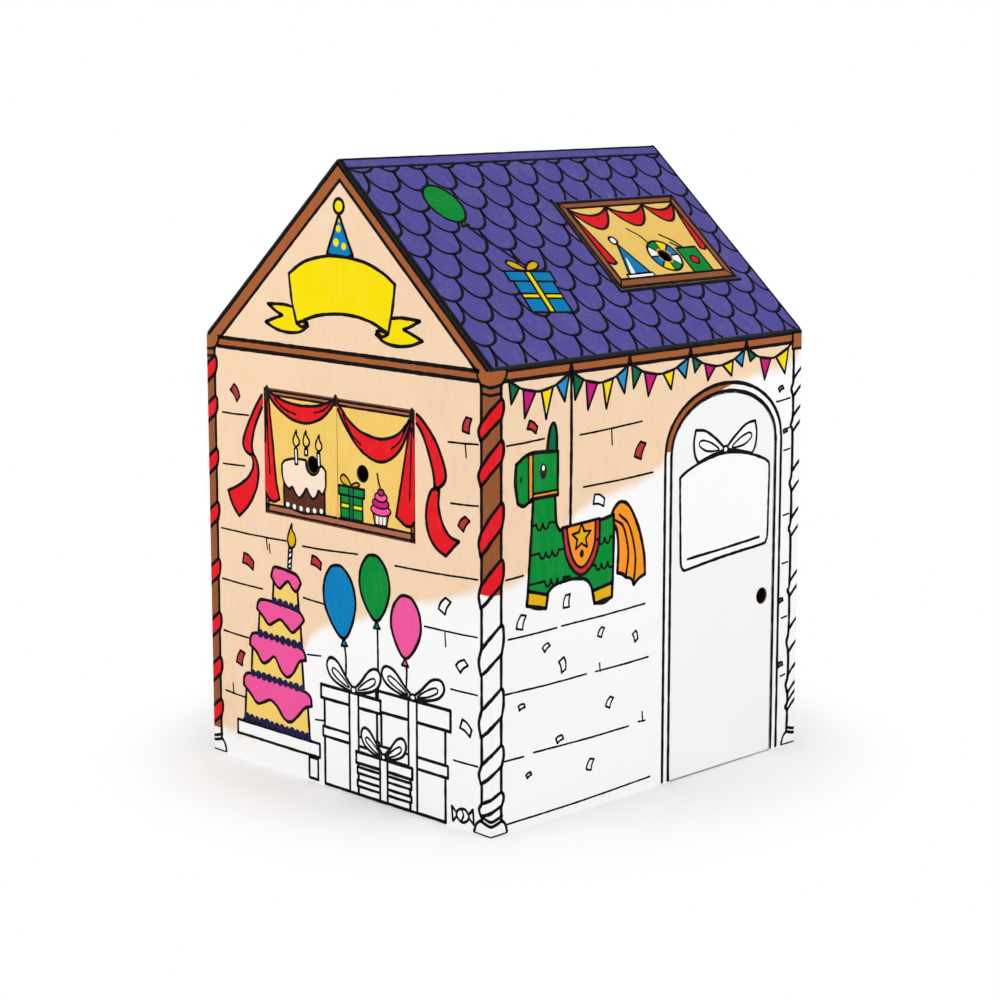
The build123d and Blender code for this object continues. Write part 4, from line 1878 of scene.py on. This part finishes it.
# %% Sign and bow on the door
loop = closed(
    [(0, 0.05), (0.3, 0.5), (0.66, 0.9), (0.98, 1.0)],
    [(1.04, 0.5), (1.0, 0.0), (0.9, -0.3)],
    [(0.5, -0.12), (0, 0.05)],
)
inner = [[(0.22, 0.08), (0.5, 0.42), (0.8, 0.55), (0.86, 0.36), (0.6, 0.1), (0.22, 0.08)]]
for size in ((-92, 50), (92, 50)):
    figure(door, "white", moved(loop, (649, 642), size=size), 5.0, 2)
    draw(door, moved(inner, (649, 642), size=size), 3.6, 3)
sign = [[
    (514, 590), (518, 606), (560, 623), (610, 634), (655, 637), (710, 630), (755, 617), (779, 606),
    (786, 592), (785, 520), (784, 458), (779, 443), (765, 437), (650, 430), (545, 420), (528, 419),
    (521, 426), (518, 440), (516, 510), (514, 590),
]]
figure(door, "white", sign, 5.0, 4)
draw(door, [[(538, 440), (650, 446), (757, 453)]], 4.5, 5)
figure(door, "white", ring((649, 644), 8, 7), 4.5, 6)
print("sign from", sign[0][0], "to", sign[0][10])

# %% [markdown]
# The far corner's post is drawn with loose strokes instead of a whole ribbon. It runs round the
# fold onto the back, like the other posts.

# %% Far post
FAR_POST = 27.0
FAR_TURNS = ((72, 90), (109, 147), (195, 243), (312, 343), (437, 474), (531, 572), (654, 685), (726, 762))
CAP_BOTTOM = 825
edge = DEPTH - FAR_POST
far_edge = [(edge, 30)]
for low, high in FAR_TURNS:
    far_edge += [(edge + 1, low), (edge - 5, (low + high) / 2), (edge + 1, high)]
    for height in (low, high):
        near_fold = [(DEPTH - 12, height + 14), (DEPTH, height + 23)]
        draw(door_wall, [[(edge, height), *near_fold, (DEPTH + 38, height + 50)]], 5.5, 3)
draw(door_wall, [far_edge + [(edge, CAP_BOTTOM)]], 6.5, 3)
draw(door_wall, [[(DEPTH + 37, 30), (DEPTH + 37, CAP_BOTTOM)]], 5.0, 3)
figure(door_wall, "brown", rectangle(edge - 4, CAP_BOTTOM, DEPTH + 42, POST_HEAD), 5.0, 4)
post_foot(door_wall, DEPTH)
print("strokes", 2 * len(FAR_TURNS))

# %% [markdown]
# ## The roof
# The scales repeat over both slopes in staggered rows, so Geometry Nodes draw them. The tree sets
# the outline of one scale on a grid of points, two grids half a step apart, and lets noise push
# the whole pattern about, so that no two scales are quite alike. It then drops every edge outside
# the slope or inside the skylight, and hands the rest to the ink tree.

# %% Scale tree
SCALE_VALUES = (
    "Pitch", "Row", "Sway", "Half Width", "Wide", "Low", "High",
    "Gap Left", "Gap Bottom", "Gap Right", "Gap Top", "Wobble", "Swell", "Ink Depth",
)
SWAY_NOISE = 11.0
STRAIGHT_SHARE = 0.35
TIP_HANDLE = (0.62, 0.04)
EDGE_MARGIN = 1.3

roof_scales, t, given, result = geometry_group("roof_scales", {
    **dict.fromkeys(SCALE_VALUES, "value"), "Columns": "whole", "Rows": "whole", "Ink": "material",
})
half_pitch = t.times(given["Pitch"], 0.5)
sides = []
for side in (-1.0, 1.0):
    out = t.times(half_pitch, side)
    handle = t.vector(t.times(out, TIP_HANDLE[0]), t.times(given["Row"], TIP_HANDLE[1]))
    curve = t.out("GeometryNodeCurvePrimitiveBezierSegment", {
        "Resolution": 12,
        "Start": t.vector(out, given["Row"]),
        "Start Handle": t.vector(out, t.times(given["Row"], STRAIGHT_SHARE)),
        "End Handle": handle,
        "End": (0.0, 0.0, 0.0),
    }, mode="POSITION")
    sides.append(t.out("GeometryNodeCurveToMesh", {0: curve}))
scale = joined(t, *sides)

# %% Rows of scales
width = t.times(given["Pitch"], t.add(given["Columns"], -1.0))
height = t.times(t.times(given["Row"], 2.0), t.add(given["Rows"], -1.0))
counts = {"Vertices X": given["Columns"], "Vertices Y": given["Rows"]}
grid = t.out("GeometryNodeMeshGrid", {"Size X": width, "Size Y": height, **counts})
rows = []
for shift_right, shift_up in ((0.0, 0.0), (0.5, 1.0)):
    along = t.add(t.times(width, 0.5), t.times(given["Pitch"], shift_right))
    up = t.add(t.times(height, 0.5), t.times(given["Row"], shift_up))
    placed = t.out("GeometryNodeTransform", {0: grid, "Translation": t.vector(along, up)})
    rows.append(t.out("GeometryNodeInstanceOnPoints", {0: placed, "Instance": scale}))
lines = t.out("GeometryNodeRealizeInstances", {0: joined(t, *rows)})
position = t.out("GeometryNodeInputPosition")
push = t.scaled(wander(t, position, SWAY_NOISE, 1.0), t.vector(given["Sway"], given["Sway"]))
lines = t.out("GeometryNodeSetPosition", {0: lines, "Offset": push})
print("grids of scales", len(rows))


# %% Edges of the pattern
def beyond(value, low, high):
    """One where a value lies outside two limits."""
    return t.most(t.under(value, given[low]), t.over(value, given[high]))


x, y, _ = t.split(position)
margin = t.times(given["Half Width"], EDGE_MARGIN)
off_side = t.most(t.under(x, margin), t.over(x, t.minus(given["Wide"], margin)))
off_slope = t.most(off_side, beyond(y, "Low", "High"))
off_gap = t.most(beyond(x, "Gap Left", "Gap Right"), beyond(y, "Gap Bottom", "Gap Top"))
dropped = t.most(off_slope, t.minus(1.0, off_gap))
lines = t.out("GeometryNodeDeleteGeometry", {0: lines, "Selection": dropped}, domain="POINT")
lines = store(t, lines, "half_width", given["Half Width"])
raised = t.out("GeometryNodeSetPosition", {0: lines, "Offset": (0.0, 0.0, PRINT_STEP * MM)})
pen = {socket_name: given[socket_name] for socket_name in PEN}
inked = t.out("GeometryNodeGroup", {"Geometry": raised, **pen}, node_tree=ink_line)
whole = t.out("GeometryNodeRealizeInstances", {0: inked})
t.feed(result[0], t.out("GeometryNodeSetMaterial", {0: whole, "Material": given["Ink"]}))
print("tree", roof_scales.name, "with", len(roof_scales.nodes), "nodes")

# %% Scales on both slopes
SCALE_PITCH = 74.0
SCALE_ROW = 56.0
SCALE_LINE = 6.6
SCALE_SWAY = 14.0
SCALE_COLUMNS = 14
SCALE_ROWS = 6
RIDGE_BAND = 26.0
EAVE_LINE = 7.5
SKYLIGHT_GAP = 3


def print_scales(page, gap):
    """Runs the scale tree for a slope and bends the result onto it."""
    left, bottom, right, top = gap
    sizes = {
        "Pitch": SCALE_PITCH, "Row": SCALE_ROW, "Sway": SCALE_SWAY, "Half Width": SCALE_LINE / 2,
        "Wide": page.width, "Low": EAVE_LINE, "High": page.height - RIDGE_BAND,
        "Gap Left": left, "Gap Bottom": bottom, "Gap Right": right, "Gap Top": top,
    }
    inputs = {socket_name: size * MM for socket_name, size in sizes.items()}
    inputs.update(PEN, Columns=SCALE_COLUMNS, Rows=SCALE_ROWS)
    mesh = grown(bpy.data.meshes.new("nothing"), roof_scales, inputs)
    settle(mesh, page, "scales_" + page.name)


NO_GAP = (-2, -2, -1, -1)
skylight_left, skylight_bottom, skylight_right, skylight_top = SKYLIGHT_BOX
print_scales(right_slope, (
    skylight_left - SKYLIGHT_GAP, skylight_bottom - SKYLIGHT_GAP,
    skylight_right + SKYLIGHT_GAP, skylight_top + SKYLIGHT_GAP,
))
print_scales(left_slope, NO_GAP)

# %% Edges of the roof
def roof_edges(page):
    """The band along the ridge and the heavy lines round a slope."""
    foot, ridge, far = page.height - RIDGE_BAND, page.height, page.width
    for start, end, thick in (
        ((4, foot), (far - 4, foot), 5.0),
        ((4, ridge - 3), (far - 4, ridge - 3), 4.0),
        ((5, 8), (5, ridge - 4), 9.0),
        ((far - 3, 8), (far - 3, ridge - 4), 5.0),
    ):
        draw(page, [[start, end]], thick, 2)


for page in (right_slope, left_slope):
    roof_edges(page)
# Painted shadow: dark lines on the roof just outside the skylight's left and bottom edges, where its gap is
# in shade.
shadow_corner = (skylight_left - 5, skylight_bottom - 6)
skylight_gap_shadow = [
    [(skylight_left - 5, skylight_top + 5), shadow_corner],
    [shadow_corner, (skylight_right + 4, skylight_bottom - 6)],
]
draw(right_slope, skylight_gap_shadow, 6.5, 2)
print("ridge band", RIDGE_BAND)

# %% [markdown]
# A gift sails over the roof on a balloon. Both are coloured, and their films cover the scales
# that run under them.

# %% Balloon and gift on the roof
ROOF_LEVEL = 4
GIFT_TURN = -6
GIFT_SPOT = (256, 176)

figure(right_slope, "green", ring((180, 411), 40, 50, radians(14)), 5.0, ROOF_LEVEL + 1)
figure(right_slope, "green", moved(corners((0, 8), (-9, -6), (9, -6)), (192, 357), 12), 4.0, ROOF_LEVEL)
draw(right_slope, [[(194, 352), (214, 316), (236, 286), (258, 250)]], 5.5, ROOF_LEVEL)
for colour, box, level in (
    ("blue", (-50, -58, 50, 30), 0), ("lemon", (-50, -22, 50, -10), 1), ("blue", (-57, 22, 57, 48), 1),
    ("lemon", (-7, -58, 7, 48), 2),
):
    figure(right_slope, colour, moved(rectangle(*box), GIFT_SPOT, GIFT_TURN), 4.5, ROOF_LEVEL + level)
loop = [[(0, 0), (10, 16), (30, 26), (40, 18), (26, 4), (0, 0)]]
for side in (-1, 1):
    placed = moved(moved(loop, (0, 50), size=(side, 1)), GIFT_SPOT, GIFT_TURN)
    figure(right_slope, "gold", placed, 4.5, ROOF_LEVEL + 3)
print("gift at", GIFT_SPOT)

# %% Skylight frame and curtains
SKY_LINE = 5.0
left, bottom, right, top = SKYLIGHT_BOX
inner = (left + 20, bottom + 24, right - 20, top - 20)
for box in ((left, bottom, right, inner[1]), (left, inner[3], right, top),
            (left, inner[1], inner[0], inner[3]), (inner[2], inner[1], right, inner[3])):
    colour_in(skylight, "column_brown", rectangle(*box), 1)
draw(skylight, rectangle(left + 4, bottom + 4, right - 4, top - 4), SKY_LINE + 1, 2)
draw(skylight, rectangle(*inner), SKY_LINE, 2)
for a, b in (((left, bottom), inner[:2]), ((left, top), (inner[0], inner[3])),
             ((right, bottom), (inner[2], inner[1])), ((right, top), inner[2:])):
    draw(skylight, [[a, b]], SKY_LINE * 0.7, 2)
for side, low, wide in ((inner[0], 226, 24), (inner[2], 244, -20)):
    panel = closed(
        [(side, inner[3] - 14), (side, low + 4)],
        [(side + wide * 0.5, low - 4), (side + wide, low)],
        [(side + wide * 0.55, low + 70), (side, inner[3] - 14)],
    )
    figure(skylight, "red", panel, SKY_LINE, 3)
SWAG_KNOTS = (inner[0], 600, 708, inner[2])
SWAG_SAGS = (58, 56, 50)
hang = inner[3] - 3
for start, end, sag in zip(SWAG_KNOTS, SWAG_KNOTS[1:], SWAG_SAGS):
    points = [(start + (end - start) * i / 6, 4 * (i / 6) * (1 - i / 6)) for i in range(1, 6)]
    upper = [(u, hang - share * sag * 0.35) for u, share in points]
    lower = [(u, hang - share * sag) for u, share in points]
    swag(skylight, ((start, hang), (end, hang)), upper, lower)
print("swags of the skylight", len(SWAG_SAGS))

# %% [markdown]
# Three things stand on the skylight's sill: a hat, a ball and a gift. The finger hole goes through
# the ball, so its coloured sectors are rings cut round that hole.

# %% Hat, ball and gift behind the skylight
foot = inner[1]
figure(skylight, "white", rectangle(514, foot, 590, foot + 11), 4.0, 3)
figure(skylight, "blue", corners((522, foot + 11), (584, foot + 11), (552, foot + 92)), 4.5, 3)
stripe = corners((529, foot + 13), (541, foot + 13), (549, foot + 56), (544, foot + 50))
colour_in(skylight, "white", stripe, 4)
figure(skylight, "white", ring((548, foot + 102), 10), 4.5, 4)

BALL_CENTRE = (660.0, 232.0)
HOLE_CLEARANCE = 20.0
BALL_RADIUS = 41.0
SECTORS = ("blue", "lemon", "green", "white") * 2
for i, colour in enumerate(SECTORS):
    angles = [2 * pi * (i + j / 4) / len(SECTORS) for j in range(5)]
    outer = around(BALL_CENTRE, BALL_RADIUS, angles)
    cut = around(BALL_CENTRE, HOLE_CLEARANCE, angles[::-1])
    colour_in(skylight, colour, closed(outer, [cut[0]], cut[1:]), 3)
    draw(skylight, [[cut[-1], outer[0]]], 3.5, 4)
draw(skylight, ring(BALL_CENTRE, BALL_RADIUS, count=12), 4.5, 4)
draw(skylight, [[(640, 270), (632, 290), (610, 312)]], 3.5, 4)

figure(skylight, "green", rectangle(708, foot, 766, foot + 68), 4.5, 3)
figure(skylight, "red", ring((737, foot + 34), 11), 4.0, 4)
draw(skylight, [
    [(730, foot + 68), (716, foot + 88), (690, foot + 108)], [(724, foot + 68), (704, foot + 84)]
], 4.5, 4)
print("ball round the hole at", BALL_CENTRE)

# %% [markdown]
# ## The sides that the photo doesn't show
# The left wall is coloured like the upper part of the front, with boards and a fascia. The back
# gable carries the same outlines and is left white.

# %% Left wall
ROW_HEIGHTS = [120 * i + 110 for i in range(6)]


def plain_boards(page, left, right):
    """Pairs of board lines with a gap that moves from row to row."""
    for i, height in enumerate(ROW_HEIGHTS):
        middle = left + (right - left) * (0.3 + 0.4 * (i % 2))
        slant = 6 if i % 2 else -4
        pair = ((left, middle - 24, height, height + slant), (middle + 30, right, height + 3, height))
        board_lines(page, pair)
        short_lines(page, ((middle + 60, height - 2, height - 22),))


plain_boards(left_wall, 46, DEPTH - 46)
fascia(left_wall, 34, DEPTH - 28, (225, 442, 660))
confetti(left_wall, "brick", (
    (180, 640, 30, 1.2), (420, 690, -40, 1.2), (640, 560, 60, 1.2), (300, 420, -20, 1.1),
    (720, 300, 35, 1.2), (500, 230, -60, 1.1), (140, 180, 50, 1.2),
))
print("left wall", len(left_wall.strokes), "strokes")

# %% Back gable
plain_boards(back, 48, WIDTH - 44)
gable_trim(back, False)
confetti(back, "white", (
    (200, 620, 30, 1.2), (400, 700, -40, 1.1), (600, 540, 60, 1.2), (260, 400, -20, 1.1),
    (560, 260, 35, 1.2), (150, 220, -60, 1.1),
))
print("back", len(back.strokes), "strokes")

# %% [markdown]
# The sheet's two ends meet at the last corner, which isn't folded, so its post is drawn in two
# halves, one on each page.

# %% Post at the glued corner
CUT_MARGIN = 0.5
for page, corner, box in (
    (back, WIDTH, (WIDTH - 50, 0, WIDTH - CUT_MARGIN, WALL_TOP)),
    (left_wall, 0, (CUT_MARGIN, 0, 50, WALL_TOP)),
):
    half = page.part([box])
    post(half, corner, OTHER_BANDS, half if page is left_wall else None)
    post_foot(half, corner)
print("corner posts", 4)

# %% [markdown]
# ## Printing
# All pages are drawn, so the ink and the colours can be pressed.

# %% Print everything
faces = (front, door_wall, back, left_wall, right_slope, left_slope)
for page in (*faces, door, left_leaf, right_leaf, skylight):
    if page.strokes:
        print_ink(page)
print_films()

# %% [markdown]
# ## The sizes of the CAD model and of the visual model

# %% Finish
low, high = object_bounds()
sizes = {"cad": [list(cad_low), list(cad_high)], "visual": [list(low), list(high)]}
print("visual model from", tuple(low), "to", tuple(high))
